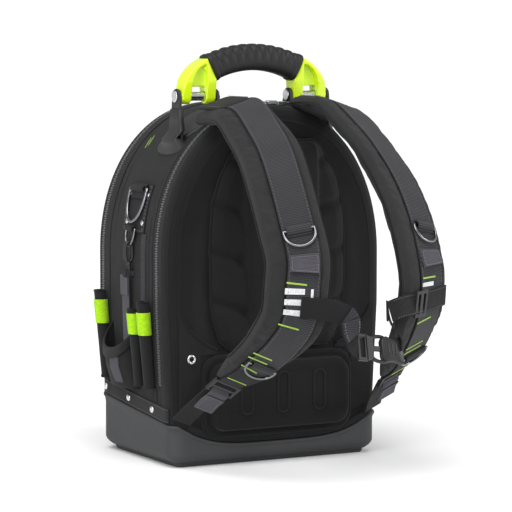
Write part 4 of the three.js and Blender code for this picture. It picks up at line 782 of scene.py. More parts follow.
def make_base():
    """The moulded tub with its foot, its bulged walls and the raised lip along its edge."""
    points, _ = plan(RIM_REAR, 0)
    top = rim(points[:, 0], points[:, 1])
    out = 0.3 + TUB_WALL
    low = [(0, -14.4), (0.4, -13.4), (2.2, -12.6), (4.0, -12.2), (5.0, -12.0), (6.0, -9.0), (9.0, -4.6),
           (12.5, -1.4), (15.5, 0.0), (18.0, 0.0)]
    rows = [(z, out + lift, 0) for z, lift in low]
    rows += [(18.0, out, share) for share in (0.3, 0.6, 0.85)]
    lip = [(-4.4, 0.0), (-3.9, 0.9), (-3.0, 1.4), (-1.4, 1.4), (-0.5, 1.0), (0.0, 0.0),
           (0.0, -TUB_WALL + 1), (-0.6, -TUB_WALL + 0.2), (-14.0, -TUB_WALL + 0.2)]
    surface = []
    for z, lift, share in rows:
        ring, _ = plan(z, lift)
        height = z + share * (top - 4.4 - z)
        surface.append(np.column_stack([ring, height]))
    for drop, lift in lip:
        ring, _ = plan(RIM_REAR, out + lift)
        surface.append(np.column_stack([ring, np.maximum(top + drop, 12.0)]))
    surface = np.array(surface)
    count = surface.shape[1]
    inner = [surface[0] * [k, k, 1] for k in (0.05, 0.5, 0.9)]
    surface = np.concatenate([inner, surface])
    shape = Shape().grid(surface, wrap=True)
    shape.faces.append(tuple(range(count))[::-1])
    shape.piece("base_moulding", "base", stands_for=["base_tub"], sharp=0)


def make_base_band():
    """The webbing over the edge of the base, sewn along both edges and riveted at the sides."""
    ring, normal = plan(80, 0.0, 20, 40)
    keep = ring[:, 1] > REAR + REAR_ROUND / 2
    start = int(np.argmax(keep))
    order = [i for i in list(range(start, len(ring))) + list(range(start)) if keep[i]]
    ring, normal = ring[order], normal[order]
    height = np.array([rim(0, max(y, REAR + REAR_ROUND + 1)) for y in ring[:, 1]]) + 10.0
    path = np.column_stack([ring, height])
    out = np.column_stack([normal, np.zeros(len(ring))])
    path = path + out * 0.4
    band = Shape().sweep(path, out, strip_section(18.0, 1.9, 9))
    band.piece("base_band_webbing", "web", stands_for=["base_band"])
    sewn = Shape()
    for shift in (-7.2, 7.2):
        sewn.stitches(path + out * 1.8 + np.array([0, 0, shift]), out)
    sewn.piece("base_band_stitches", "black_thread", sharp=0)
    heads = Shape()
    names = []
    for side, word in SIDES:
        for place in (1, 2, 3):
            low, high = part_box(f"rivet_{word}_{place}")
            centre = (Vector(low) + Vector(high)) / 2 / MM
            seat = (low[0] if side > 0 else high[0]) / MM
            heads.dome((seat, centre.y, centre.z), (side, 0, 0),
                       [(0.1, -0.6), (4.2, -0.6), (4.3, 0.3), (3.9, 1.0), (3.0, 1.5), (1.6, 1.75),
                        (0.1, 1.8)], 24)
            names.append(f"rivet_{word}_{place}")
    heads.piece("base_rivets", "steel", stands_for=names, sharp=35)


# Pads on the worn side

# The back pad's half width and its spine's, as shares, by height
PAD_ROWS = [(0, 0.74, 0.62), (0.04, 0.86, 0.7), (0.16, 0.97, 0.8), (0.34, 1, 0.88), (0.55, 1, 0.95),
            (0.7, 0.97, 1), (0.82, 0.87, 1), (0.92, 0.72, 1), (0.975, 0.62, 0.96), (1, 0.52, 0.82)]
PAD_HALF, PAD_FOOT, PAD_TOP, PAD_THICK = 92.0, 142.0, 392.0, 11.0
SPINE_HALF, SPINE_RISE, CHEVRON = 52.0, 6.0, 5.0


def smoothstep(x, low, high):
    t = np.clip((x - low) / (high - low), 0, 1)
    return t * t * (3 - 2 * t)


def make_back_pad():
    """The moulded back panel: a raised spine between puffed lobes parted by chevrons, and quilted lines."""
    rows, columns = 150, 110
    table = np.array(PAD_ROWS)
    up = np.linspace(0, 1, rows)[:, None]
    wide = PAD_HALF * np.interp(up, table[:, 0], table[:, 1])
    spine = SPINE_HALF * np.interp(up, table[:, 0], table[:, 2])
    across = wide * np.sin((np.linspace(0, 1, columns)[None, :] - 0.5) * math.pi)
    edge = np.minimum(1, (wide - np.abs(across)) / 14).clip(0) ** 0.5
    ends = np.minimum(1, np.minimum(up / 0.05, (1 - up) / 0.04)).clip(0) ** 0.5
    on_spine = smoothstep(spine + 5 - np.abs(across), 0, 10)
    phase = up * 4.2 + 0.5 - np.abs(across) / (2.1 * PAD_HALF)
    part = (phase - np.round(phase)) / 0.11
    groove = np.exp(-part ** 2)
    puff = 1.2 * np.cos(np.clip(np.abs(phase - np.round(phase)) - 0.5, -0.5, 0.5) * math.pi)
    channel = np.exp(-((np.abs(across) - spine) / 2.2) ** 2)
    quilt = sum(np.exp(-((up - height) / 0.006) ** 2) for height in (0.34, 0.72)) * on_spine
    height = (PAD_THICK - (1 - on_spine) * (groove * CHEVRON - puff) + on_spine * SPINE_RISE)
    height = height - 1.6 * channel - 1.0 * quilt
    height = height * (0.3 + 0.7 * np.minimum(edge, ends))
    z = np.broadcast_to(PAD_FOOT + up * (PAD_TOP - PAD_FOOT), across.shape)
    points = np.stack([across, PAD_BACK - height, z], axis=2)
    flat = points.reshape(-1, 3)
    flat[:, 1] += 0.5 * soft_noise(flat, 18.0, 2.0) * (ends * edge).reshape(-1)
    front = flat.reshape(points.shape)
    shape = Shape().grid(front)
    rim_line = np.concatenate([front[0], front[1:, -1], front[-1, -2::-1], front[-2:0:-1, 0]])
    rim_back = rim_line.copy()
    rim_back[:, 1] = PAD_BACK
    shape.grid(np.array([rim_line, rim_back]), wrap=True)
    item = shape.piece("back_panel_pad", "foam", stands_for=["back_pad"], sharp=0)
    binding = Shape()
    binding.tube(rim_line + np.array([0, -0.6, 0]), 1.9, 8, True)
    binding.piece("back_pad_binding", "binding", sharp=0)


def rounded_ring(half, low, high, radius, y, steps=8):
    """A rounded rectangle in the worn side's plane."""
    ring = []
    for cx, cz, start in ((half - radius, low + radius, -90), (half - radius, high - radius, 0),
                          (-half + radius, high - radius, 90), (-half + radius, low + radius, 180)):
        for turn in np.radians(start + np.linspace(0, 90, steps)):
            ring.append((cx + radius * math.cos(turn), y, cz + radius * math.sin(turn)))
    return np.array(ring)


def make_lumbar_pad():
    """The lower pad: a stepped, double rim and three upright slots."""
    half, low, high = 103.0, 34.0, 135.0
    steps = [(0, 0), (0, 3.6), (0.6, 5.2), (2.2, 6.6), (4.6, 6.9), (7.6, 6.0), (8.6, 6.4), (9.4, 9),
             (10, 14), (10.8, 17.4), (12.6, 19.2), (16, 19.9), (21, 19.2), (24, 18.6), (34, 18.8)]
    rows = [rounded_ring(half - inset, low + inset, high - inset, max(22 - inset / 2, 4), PAD_BACK - out)
            for inset, out in steps]
    shape = Shape().grid(np.array(rows), wrap=True, caps=True)
    item = shape.piece("lumbar_panel_pad", "foam_edge", stands_for=["lumbar_pad"], sharp=0)
    cutters = Shape()
    for place in (-50, 0, 50):
        ring = rounded_ring(7, 64, 112, 6.9, 0) + np.array([place, 0, 0])
        ends = [ring + np.array([0, y, 0]) for y in (PAD_BACK - 30, PAD_BACK + 2)]
        cutters.grid(np.array(ends), wrap=True, caps=True)
    mesh = bpy.data.meshes.new("slots")
    mesh.from_pydata((np.concatenate(cutters.points) * MM).tolist(), [], cutters.faces)
    tool = bpy.data.objects.new("slots", mesh)
    scene.collection.objects.link(tool)
    boolean = item.modifiers.new("slots", "BOOLEAN")
    boolean.operation = "DIFFERENCE"
    boolean.object = tool
    apply_modifiers(item)
    bpy.data.objects.remove(tool)
    lips = Shape()
    for place in (-50, 0, 50):
        ring = rounded_ring(7.6, 63.4, 112.6, 7.4, PAD_BACK - 18.9, 10) + np.array([place, 0, 0])
        lips.tube(ring, 1.5, 8, True)
    lips.piece("lumbar_slot_lips", "foam_edge", sharp=0)


def apply_modifiers(item):
    """Turns a piece's modifiers into its mesh."""
    done = bpy.data.meshes.new_from_object(item.evaluated_get(bpy.context.evaluated_depsgraph_get()))
    item.modifiers.clear()
    old = item.data
    item.data = done
    bpy.data.meshes.remove(old)


def puff(item, held, cap, frames=14):
    """Blows a padded piece up a little as cloth, held at its seams, with each point's move capped."""
    mesh = item.data
    before = np.empty(len(mesh.vertices) * 3)
    mesh.vertices.foreach_get("co", before)
    item.vertex_groups.new(name="held").add(held, 1.0, "REPLACE")
    cloth = item.modifiers.new("puff", "CLOTH")
    cloth.settings.quality = 5
    cloth.settings.mass = 0.25
    cloth.settings.use_pressure = True
    cloth.settings.uniform_pressure_force = 4.0
    cloth.settings.shrink_min = -0.05
    cloth.settings.tension_stiffness = 25
    cloth.settings.compression_stiffness = 8
    cloth.settings.bending_stiffness = 0.3
    cloth.settings.vertex_group_mass = "held"
    cloth.settings.effector_weights.gravity = 0
    cloth.point_cache.frame_start = 1
    cloth.point_cache.frame_end = frames
    for step in range(1, frames + 1):
        scene.frame_set(step)
    after = np.empty_like(before)
    item.evaluated_get(bpy.context.evaluated_depsgraph_get()).data.vertices.foreach_get("co", after)
    item.modifiers.remove(cloth)
    item.vertex_groups.clear()
    scene.frame_set(1)
    move = (after - before).reshape(-1, 3)
    ends = np.empty(len(mesh.edges) * 2, int)
    mesh.edges.foreach_get("vertices", ends)
    ends = ends.reshape(-1, 2)
    degree = np.bincount(ends.ravel(), minlength=len(move))[:, None]
    size = np.linalg.norm(move, axis=1, keepdims=True)
    move = move * np.minimum(1, cap * MM / np.maximum(size, 1e-9))
    for _ in range(2):
        total = np.zeros_like(move)
        np.add.at(total, ends[:, 0], move[ends[:, 1]])
        np.add.at(total, ends[:, 1], move[ends[:, 0]])
        move = 0.5 * move + 0.5 * total / degree
    move[held] = 0
    print("puffed", item.name, "by up to", round(float(np.linalg.norm(move, axis=1).max()) / MM, 2), "mm")
    mesh.vertices.foreach_set("co", (before.reshape(-1, 3) + move).ravel())
    mesh.update()


def make_hip_panels():
    """Fabric corners beside the lower pad, bound at the edge, with a metal eyelet each."""
    inner, outer, top, foot, over = 103.6, 132.0, 186.0, 56.0, 135.6
    start, bend = np.array([outer, top]), np.array([0.86 * outer, 153.24])
    end = np.array([0.62 * outer, over + 6])
    share = np.linspace(0, 1, 16)[:, None]
    curve = start * (1 - share) ** 2 + 2 * bend * share * (1 - share) + end * share ** 2
    outline = np.vstack([[inner, foot], [outer, foot + 10], curve, [0.62 * outer, over], [inner, over]])
    eyelet = np.array([117.0, PAD_BACK - 2.6, 132.0])
    for side, word in SIDES:
        panel = Shape()
        flip = np.array([side, 1, 1])
        front = np.column_stack([outline[:, 0], np.full(len(outline), PAD_BACK - 2.2),
                                 outline[:, 1]]) * flip
        back = front + np.array([0, 1.9, 0])
        panel.grid(np.array([back, front]), wrap=True, caps=True)
        panel.piece(f"hip_panel_cloth_{word}", "nylon", stands_for=[f"hip_panel_{word}"], sharp=30)
        bound = Shape()
        edge = np.column_stack([curve[:, 0], np.full(len(curve), PAD_BACK - 1.6), curve[:, 1]]) * flip
        bound.tube(edge, 1.9, 8)
        bound.piece(f"hip_panel_binding_{word}", "binding", sharp=0)
        ring = Shape()
        turn = np.linspace(0, 2 * math.pi, 28, endpoint=False)
        circle = eyelet * flip + 4.4 * np.column_stack([np.cos(turn), np.zeros(28), np.sin(turn)])
        ring.tube(circle, 1.5, 10, True)
        ring.piece(f"hip_eyelet_{word}", "steel", sharp=0)


# Shoulder straps

def dome_height(x):
    return SPRING + RISE * (1 - (abs(x) / HALF_WIDTH) ** POWER) ** (1 / POWER)


def dome_normal(x):
    return dome_slope(x, dome_height(x))


SEAT = dome_normal(STRAP_SEAT)
ROOT_X = STRAP_SEAT + SEAT[0] * (STRAP_ROOT_THICK + 0.3)
STRAP_TOP = dome_height(STRAP_SEAT) + SEAT[1] * (STRAP_ROOT_THICK + 0.3)
ROOT_ROLL = math.atan2(SEAT[0], SEAT[1])
# How far the loaded top of a strap hangs flatter than the dome under it
ROOT_SAG = math.radians(9)
# Middle of the strap's outer face: out, reach and height as shares, as in the model
STRAP_ROWS = [(0, (REAR - STRAP_ROOT_Y) / STRAP_REACH, 1), (0, 0.06, 1.004), (0.005, 0.2, 1),
              (0.03, 0.42, 0.943), (0.05, 0.58, 0.889), (0.088, 0.752, 0.806),
              (0.108, 0.895, 0.706), (0.108, 0.985, 0.616),
              (0.128, 1, 0.545), (0.134, 0.962, 0.452), (0.176, 0.833, 0.381), (0.263, 0.6, 0.3)]
STRAP_CURVE = smooth_path([(ROOT_X + o * HALF_WIDTH, REAR - r * STRAP_REACH, h * STRAP_TOP)
                           for o, r, h in STRAP_ROWS], 1601)


def strap_frames(shares):
    """Middle, along, across and face of the right strap at shares of its length."""
    places = np.asarray(shares, float) * (len(STRAP_CURVE) - 1)
    index = np.arange(len(STRAP_CURVE))
    directions = tangents(STRAP_CURVE)
    middle = at_places(places, index, STRAP_CURVE)
    along = unit(at_places(places, index, directions))
    level = unit(np.array([1.0, 0, 0]) - along * along[:, :1])
    out = np.cross(along, level)
    share = np.clip((np.asarray(shares) - 0.1) / 0.3, 0, 1)
    sag = 1 - np.clip((np.asarray(shares) - 0.15) / 0.2, 0, 1)
    roll = ROOT_ROLL + (math.radians(STRAP_ROLL) - ROOT_ROLL) * share * share * (3 - 2 * share)
    roll = (roll - ROOT_SAG * sag * sag * (3 - 2 * sag))[:, None]
    across = level * np.cos(roll) - out * np.sin(roll)
    face = out * np.cos(roll) + level * np.sin(roll)
    return middle, along, across, face


def on_strap(side, share, across, lift):
    """Points on a strap. side is 1 or -1, and across grows towards +X on both."""
    share, across, lift = np.broadcast_arrays(np.asarray(share, float), across, lift)
    middle, _, axis, face = strap_frames(share.ravel())
    points = middle + axis * (across.ravel() * side)[:, None] + face * lift.ravel()[:, None]
    points[:, 0] *= side
    return points.reshape(*share.shape, 3)


def strap_face(side, share):
    _, _, _, face = strap_frames(np.atleast_1d(share))
    return face * np.array([side, 1, 1])


def strap_half(share):
    return STRAP_WIDTH / 2 * (1 - 0.26 * smoothstep(share, 0.8, 1.0))


def strap_thick(share):
    return STRAP_ROOT_THICK + (STRAP_THICK - STRAP_ROOT_THICK) * smoothstep(share, 0.12, 0.35)


def make_strap(side, word):
    """A padded strap: a puffed strip, a groove and a margin on its face, and a soft lining behind."""
    count = 170
    shares = np.linspace(0.0, 1.0, count)
    half, thick = strap_half(shares), strap_thick(shares)
    left = WEB_SHIFT - WEB_WIDTH / 2 - 1.6
    right = WEB_SHIFT + WEB_WIDTH / 2 + 1.0
    face = []
    bare = 9.0 * (1 - smoothstep(shares, 0.1, 0.32)) if side < 0 else np.zeros(count)
    for h, t, b in zip(half, thick, bare):
        lo, hi = max(left, -h + 6), min(right, h - 3)
        profile = [(-h, -0.5 * t), (-h + 0.6, -0.34 * t), (-h + 2.2, -0.16 * t)]
        for k in np.linspace(0.12, 1, 10):
            x = -h + 2.2 + (lo + h - 2.2) * k
            swell = math.sin(math.pi * min(1, 0.3 + 0.7 * k)) ** 0.8
            profile.append((x, 1.7 * swell - 0.1 * t * (1 - k) ** 2))
        profile += [(lo + 0.8, -2.2), (lo + 2.4, -0.6)]
        profile += [(x, -0.5) for x in np.linspace(lo + 5, hi - 3, 6)]
        profile += [(hi - 0.8, -1.0)]
        for k in np.linspace(0.1, 1, 5):
            x = hi + (h - 1.8 - hi) * k
            profile.append((x, 0.9 * math.sin(math.pi * min(1, 0.35 + 0.55 * k)) - 0.12 * t * k ** 3))
        profile += [(h - 0.5, -0.32 * t), (h, -0.5 * t)]
        for k in np.linspace(0.05, 0.95, 13):
            x = h * math.cos(math.pi * k)
            profile.append((x, -0.5 * t - 0.5 * t * math.sin(math.pi * k) ** 0.55))
        face.append([(x - b * smoothstep(x, 20.0, h), y) for x, y in profile])
    face = np.array(face)
    rows = on_strap(side, np.broadcast_to(shares[:, None], face.shape[:2]), face[..., 0], face[..., 1])
    flat = rows.reshape(-1, 3)
    ripple = 0.5 * soft_noise(flat, 16.0, 4.0 + side) + 0.35 * soft_noise(flat, 7.0, 9.0)
    normal = np.repeat(strap_face(side, shares), face.shape[1], axis=0)
    flat = flat + normal * (ripple * 0.55)[:, None]
    shape = Shape()
    flow = np.stack([face[..., 0], np.broadcast_to(shares[:, None] * STRAP_LENGTH, face.shape[:2]),
                     np.zeros(face.shape[:2])], axis=2)
    shape.grid(flat.reshape(rows.shape), wrap=True, caps=True, flow=flow)
    item = shape.piece(f"strap_padding_{word}", "strap_cloth", stands_for=[f"strap_pad_{word}"], sharp=0)
    item.data.materials.append(LOOKS["strap_lining"][0])
    item.data.materials.append(LOOKS["binding"][0])
    columns = face.shape[1]
    row, column = np.divmod(np.arange(len(item.data.polygons)), columns)
    look = np.where((column >= columns - 13) & (column < columns - 1), 1, 0)
    look[shares[np.minimum(row, count - 1)] < 0.07] = 2
    item.data.polygons.foreach_set("material_index", look.tolist())
    row, column = np.divmod(np.arange(count * columns), columns)
    free = ((column > 3) & (column < 12)) | ((column > 22) & (column < 26)) | (column > 30)
    free &= (row > 4) & (row < count - 4)
    puff(item, np.flatnonzero(~free).tolist(), 1.6)
    cords = Shape()
    for edge, drawn in ((-1, 0), (1, bare)):
        cords.tube(on_strap(side, shares, edge * (half + 0.2) - drawn, -0.5 * thick), 1.5, 8)
    groove = np.linspace(0.03, 0.345, 60)
    cords.tube(on_strap(side, groove, left + 0.2, 0.1), 1.1, 8)
    groove = np.linspace(0.36, 0.99, 90)
    cords.tube(on_strap(side, groove, np.maximum(left + 0.2, -strap_half(groove) + 6.2), -0.9), 0.8, 8)
    cords.piece(f"strap_piping_{word}", "binding", sharp=0)


def add_strip(shape, side, start, end, left, right, low, thick, count=60, lift=None):
    """A flat band on a strap's face between two shares and two places across."""
    shares = np.linspace(start, end, count)
    section = np.array(strip_section(right - left, thick, 7))
    section = np.broadcast_to(section, (count, *section.shape)).copy()
    rise = np.zeros(count) if lift is None else lift
    across = (left + right) / 2 + section[..., 0]
    height = low + section[..., 1] + rise[:, None]
    rows = on_strap(side, np.broadcast_to(shares[:, None], across.shape), across, height)
    flow = np.stack([across, np.broadcast_to(shares[:, None] * STRAP_LENGTH, across.shape), height], axis=2)
    shape.grid(rows, wrap=True, caps=True, flow=flow)


def keeper(shape, side, share, width):
    """A loop of webbing over the bar of a ring."""
    turns = np.linspace(-0.15 * math.pi, 1.15 * math.pi, 18)
    reach = RING_WIRE / 2 + 1.4
    shares = share - (reach + 1.0) * np.cos(turns) / STRAP_LENGTH
    path = on_strap(side, shares, WEB_SHIFT, RING_LIFT + reach * np.sin(turns) - 0.4)
    end = on_strap(side, share - 6.0 / STRAP_LENGTH, WEB_SHIFT, 2.5)
    tail = on_strap(side, share + 7.5 / STRAP_LENGTH, WEB_SHIFT, 2.5)
    path = np.vstack([end, path, tail])
    _, _, across, _ = strap_frames([share])
    axis = across[0] * np.array([side, 1, 1]) * side
    along = tangents(path)
    out = unit(np.cross(np.broadcast_to(axis, along.shape), along))
    face = strap_face(side, share)[0]
    if out[len(out) // 2].dot(face) < 0:
        out = -out
    section = np.array(strip_section(width, 1.5, 7))
    shape.sweep(path, out, section, side=np.broadcast_to(axis, along.shape))


def make_strap_webbing(side, word):
    left, right = WEB_SHIFT - WEB_WIDTH / 2, WEB_SHIFT + WEB_WIDTH / 2
    shape = Shape()
    add_strip(shape, side, 0.075, 0.995, left, right, 0.35, 1.9, 150)
    keeper(shape, side, UPPER_RING, 29.0)
    keeper(shape, side, LOWER_RING, 29.0)
    shape.piece(f"strap_webbing_weave_{word}", "strap_web", stands_for=[f"strap_webbing_{word}"])
    rows = Shape()
    for across in (left + 2.0, right - 2.0):
        shares = np.linspace(0.09, 0.985, 300)
        rows.stitches(on_strap(side, shares, across, 2.2), strap_face(side, shares))
    rows.piece(f"strap_webbing_stitches_{word}", "black_thread", sharp=0)


# Lime bar tacks on each strap: share at either end, and place across at either end
LIME_BARS = {
    -1: [(0.690, -13.5, 0.692, 9.6), (0.800, -16.4, 0.800, 8.7), (0.920, -18.0, 0.920, 7.4),
         (0.940, -18.6, 0.940, 7.6), (0.978, -15.6, 0.985, 7.9)],
    1: [(0.690, -11.0, 0.692, 11.0), (0.800, -13.0, 0.800, 10.0), (0.900, -14.0, 0.903, 12.0),
        (0.925, -14.0, 0.928, 12.0), (0.978, -13.0, 0.985, 9.0)],
}


def make_strap_marks(side, word):
    """Bar tacks in lime thread, and plain reflective bars where the photograph shows light marks."""
    tacks = Shape()
    for start, left, end, right in LIME_BARS[side]:
        count = 26
        shares = np.linspace(start, end, count)
        across = np.linspace(left, right, count)
        zigzag = shares + np.where(np.arange(count) % 2, 0.0013, -0.0013)
        tacks.tube(on_strap(side, zigzag, across, 2.6), 0.42, 6, False, strap_face(side, start)[0])
        for shift in (-0.0012, 0.0012):
            tacks.tube(on_strap(side, shares + shift, across, 2.55), 0.4, 6, False,
                       strap_face(side, start)[0])
    tacks.piece(f"strap_tacks_{word}", "lime_thread", sharp=0)
    bars = Shape()
    if side < 0:
        for start, left, right in ((0.702, -15.0, 8.0), (0.728, -15.0, 8.0), (0.754, -15.0, 8.0)):
            add_strip(bars, side, start, start + 0.014, left, right, 2.25, 0.35, 8)
        add_strip(bars, side, 0.702, 0.768, 15.0, 18.0, 2.25, 0.35, 12)
    else:
        for start, left, right in ((0.702, -12.0, 8.0), (0.724, -12.0, 8.0)):
            add_strip(bars, side, start, start + 0.01, left, right, 2.25, 0.35, 8)
    bars.piece(f"strap_reflective_{word}", "reflective", sharp=30)


def make_strap_tab(side, word):
    """The folded grey tab on the webbing, sewn round its edge and lifting at its foot."""
    left, right = WEB_SHIFT - WEB_WIDTH / 2 + 2, WEB_SHIFT + WEB_WIDTH / 2 - 2
    span = 20.0 / STRAP_LENGTH
    count = 24
    lift = 2.6 * np.linspace(0, 1, count) ** 2
    tab = Shape()
    add_strip(tab, side, TAB_SHARE, TAB_SHARE + span, left, right, 2.5, 1.5, count, lift=lift)
    add_strip(tab, side, TAB_SHARE + 0.1 * span, TAB_SHARE + span * 0.97, left + 0.5, right - 0.5, 4.1,
              0.9, count, lift=lift)
    tab.piece(f"strap_tab_fold_{word}", "grey_web", stands_for=[f"strap_tab_{word}"], sharp=30)
    rows = Shape()
    shares = np.linspace(TAB_SHARE + 0.14 * span, TAB_SHARE + 0.9 * span, 40)
    rise = 5.1 + 2.6 * ((shares - TAB_SHARE) / span) ** 2
    for across in (left + 2.2, right - 2.2):
        rows.stitches(on_strap(side, shares, across, rise), strap_face(side, shares), 3.0, 2.0)
    for share, height in ((shares[0], rise[0]), (shares[-1], rise[-1])):
        line = on_strap(side, share, np.linspace(left + 2.2, right - 2.2, 40), height)
        rows.stitches(line, np.broadcast_to(strap_face(side, share), line.shape), 3.0, 2.0)
    rows.piece(f"strap_tab_stitches_{word}", "grey_thread", sharp=0)


def ring_path(width, drop, wire):
    """A D-ring in its plane: the bar along x at 0, the bow down along -y."""
    half, bow = (width - wire) / 2, drop - wire / 2
    turn = np.linspace(0, math.pi, 40)[1:-1]
    arc = np.column_stack([half * np.cos(turn), -bow * np.sin(turn) ** 0.8])
    bar = np.column_stack([np.linspace(-half, half, 16), np.zeros(16)])
    return np.vstack([bar, arc])


def make_ring(name, node, body, middle, across, bow, width, drop, wire):
    flat = ring_path(width, drop, wire)
    across, bow = np.asarray(across, float), np.asarray(bow, float)
    path = np.asarray(middle) + flat[:, :1] * across - flat[:, 1:] * bow
    shape = Shape().tube(path, wire / 2 * 0.98, 14, True, np.cross(across, bow))
    shape.piece(name, "ring_steel", body, [node], sharp=0)


def station_point(side, share, across, lift):
    """A point on the strap as the model has it, straight between its stations."""
    first = min(STATIONS - 1, int(share * STATIONS + 1e-9))
    ends = on_strap(side, np.array([first, first + 1]) / STATIONS, across, lift)
    return ends[0] + (ends[1] - ends[0]) * (share * STATIONS - first)


def make_strap_rings(side, word):
    for share, level in ((UPPER_RING, "upper"), (LOWER_RING, "lower")):
        middle, along, across, face = [v[0] for v in strap_frames([share])]
        mirror = np.array([side, 1, 1])
        bar = station_point(side, share, WEB_SHIFT, RING_LIFT)
        tip = middle + along * RING_DROP + across * WEB_SHIFT * side + face * (RING_LIFT + 1.0)
        make_ring(f"{level}_ring_round_{word}", f"{level}_ring_{word}", f"{level}_{word}_ring", bar,
                  across * mirror, unit(tip * mirror - bar), 40.0, RING_DROP, RING_WIRE)


def make_yoke_cover(side, word):
    """The thick sewn flap over the root of a strap."""
    middle, _, across, face = [v[0] for v in strap_frames([0.08])]
    mirror = np.array([side, 1, 1])
    length = np.linspace(-67.0, -130.0, 34)
    rows = []
    for k, y in enumerate(length):
        t = abs(2 * k / (len(length) - 1) - 1)
        half = 23.0 * (1 - 0.1 * max(0, (t - 0.8) / 0.2) ** 2)
        thick = 4.2 * (1 - 0.75 * t ** 8)
        ring = []
        for x in np.linspace(-1, 1, 15):
            ring.append((x * half, 0.7 + thick * (1 - abs(x) ** 6) ** 0.5))
        for x in np.linspace(1, -1, 9)[1:-1]:
            ring.append((x * half, 0.5))
        place = middle.copy()
        place[1] = y
        rows.append([(place + across * a + face * h) * mirror for a, h in ring])
    shape = Shape().grid(np.array(rows), wrap=True, caps=True)
    item = shape.piece(f"yoke_flap_{word}", "web", stands_for=[f"yoke_cover_{word}"], sharp=0)
    rows = Shape()
    for a in (-19.5, 19.5):
        line = np.array([(np.array([middle[0], y, middle[2]]) + across * a + face * 4.3) * mirror
                         for y in length[3:-3]])
        rows.stitches(line, face * mirror)
    rows.piece(f"yoke_stitches_{word}", "black_thread", sharp=0)


# Adjusters

def lock_frame(side):
    """Start, along, across and face of the lock and its webbing on one side."""
    middle, _, across, face = [v[0] for v in strap_frames([1.0])]
    anchor = np.array([0.9 * HALF_WIDTH, PAD_BACK - 2.4 - 2.0, RIM_REAR + 6])
    start = middle - face * STRAP_THICK / 2
    run = anchor - start
    along = unit(run)
    flat = unit(across - along * across.dot(along))
    out = unit(np.cross(along, flat))
    mirror = np.array([side, 1, 1])
    return start * mirror, along * mirror, flat * mirror, out * mirror, float(np.linalg.norm(run))


# The strap's tapered end: run, half width, and the lifts of its top and foot
STRAP_END = [(-9, 26.5, 9.6, -9.5), (-2, 27, 9.8, -9.5), (6, 26, 9.4, -8.5), (14, 24.6, 8.6, -7.0),
             (23, 22.6, 7.2, -5.4), (31, 20.5, 5.4, -4.0), (36, 19, 3.4, -2.8)]


def make_adjuster(side, word):
    """The strap's tapered end, its ladder lock, the webbing to the base and the folded grey tail."""
    start, along, across, out, reach = lock_frame(side)

    def at(run, x, lift):
        return start + along * run + across * x + out * lift

    end = Shape()
    rows = []
    turn = np.arange(40) * 2 * math.pi / 40
    cos, sin = bent(np.cos(turn), 0.5), bent(np.sin(turn), 0.7)
    for run, half, top, low in STRAP_END:
        rows.append([at(run, half * c, (top + low) / 2 + (top - low) / 2 * s) for c, s in zip(cos, sin)])
    end.grid(np.array(rows), wrap=True, caps=True)
    item = end.piece(f"strap_end_{word}", "strap_cloth", sharp=0)
    webs = Shape()
    path = smooth_path([at(-6, WEB_SHIFT * side, 10.4), at(6, 4 * side, 10.0), at(18, 2 * side, 9.0),
                        at(30, 0, 6.4), at(38, 0, 3.4), at(43, 0, 1.4)], 50)
    width = np.linspace(WEB_WIDTH, 26.0, 50)
    section = np.array([strip_section(w, 1.8, 9) for w in width])
    webs.sweep(path, np.broadcast_to(out, path.shape), section, side=np.broadcast_to(across, path.shape))
    path = smooth_path([at(54, 0, -0.5), at(60, 0, -3.4), at(66, 0, -3.6), at(0.8 * reach, 0, -2.4),
                        at(reach - 2, 0, 0.5)], 60)
    webs.sweep(path, np.broadcast_to(out, path.shape), strip_section(25.0, 1.7),
               side=np.broadcast_to(across, path.shape))
    webs.piece(f"adjuster_web_{word}", "web", stands_for=[f"adjuster_{word}"])
    tack = Shape()
    bar = np.array([at(22, x, 10.4) for x in np.linspace(-13, 13, 20)])
    tack.tube(bar, 0.55, 6)
    tack.piece(f"strap_end_tack_{word}", "lime_thread", sharp=0)
    lock = Shape()
    ladder(lock, at(50, 0, 3.4), (along, across, out), 24.0, 36.0, 4.6, (-10, 0, 10))
    lock.piece(f"ladder_lock_frame_{word}", "plastic", stands_for=[f"ladder_lock_{word}"], sharp=35)
    tail = Shape()
    path = smooth_path([at(55, 0, 2.0), at(59, 0, 6.4), at(66, 0, 7.2), at(78, 0, 6.6), at(93, 0, 8.6)], 44)
    tail.sweep(path, np.broadcast_to(out, path.shape), strip_section(24.0, 1.5),
               side=np.broadcast_to(across, path.shape))
    fold = path[14:] + out * 1.7
    tail.sweep(fold, np.broadcast_to(out, fold.shape), strip_section(24.6, 1.4),
               side=np.broadcast_to(across, fold.shape))
    tail.piece(f"adjuster_tail_web_{word}", "grey_web", stands_for=[f"adjuster_tail_{word}"])
    rows = Shape()
    for x in (-9.5, 9.5):
        rows.stitches(fold[1:-1] + across * x + out * 1.4, out, 3.0, 2.0)
    for k in (1, -3):
        line = np.array([fold[k] + across * x + out * 1.4 for x in np.linspace(-9.5, 9.5, 20)])
        rows.stitches(line, out, 3.0, 2.0)
    rows.piece(f"adjuster_tail_stitches_{word}", "grey_thread", sharp=0)


# Chest strap

def buckle_frame():
    """Along, across and face of the buckle, which hangs tipped back and a little turned."""
    along = unit(np.array([1.0, 0.0, -0.14]))
    tip = math.radians(24)
    face = np.array([0.0, -math.cos(tip), math.sin(tip)])
    across = unit(np.cross(face, along))
    return along, across, np.cross(along, across)


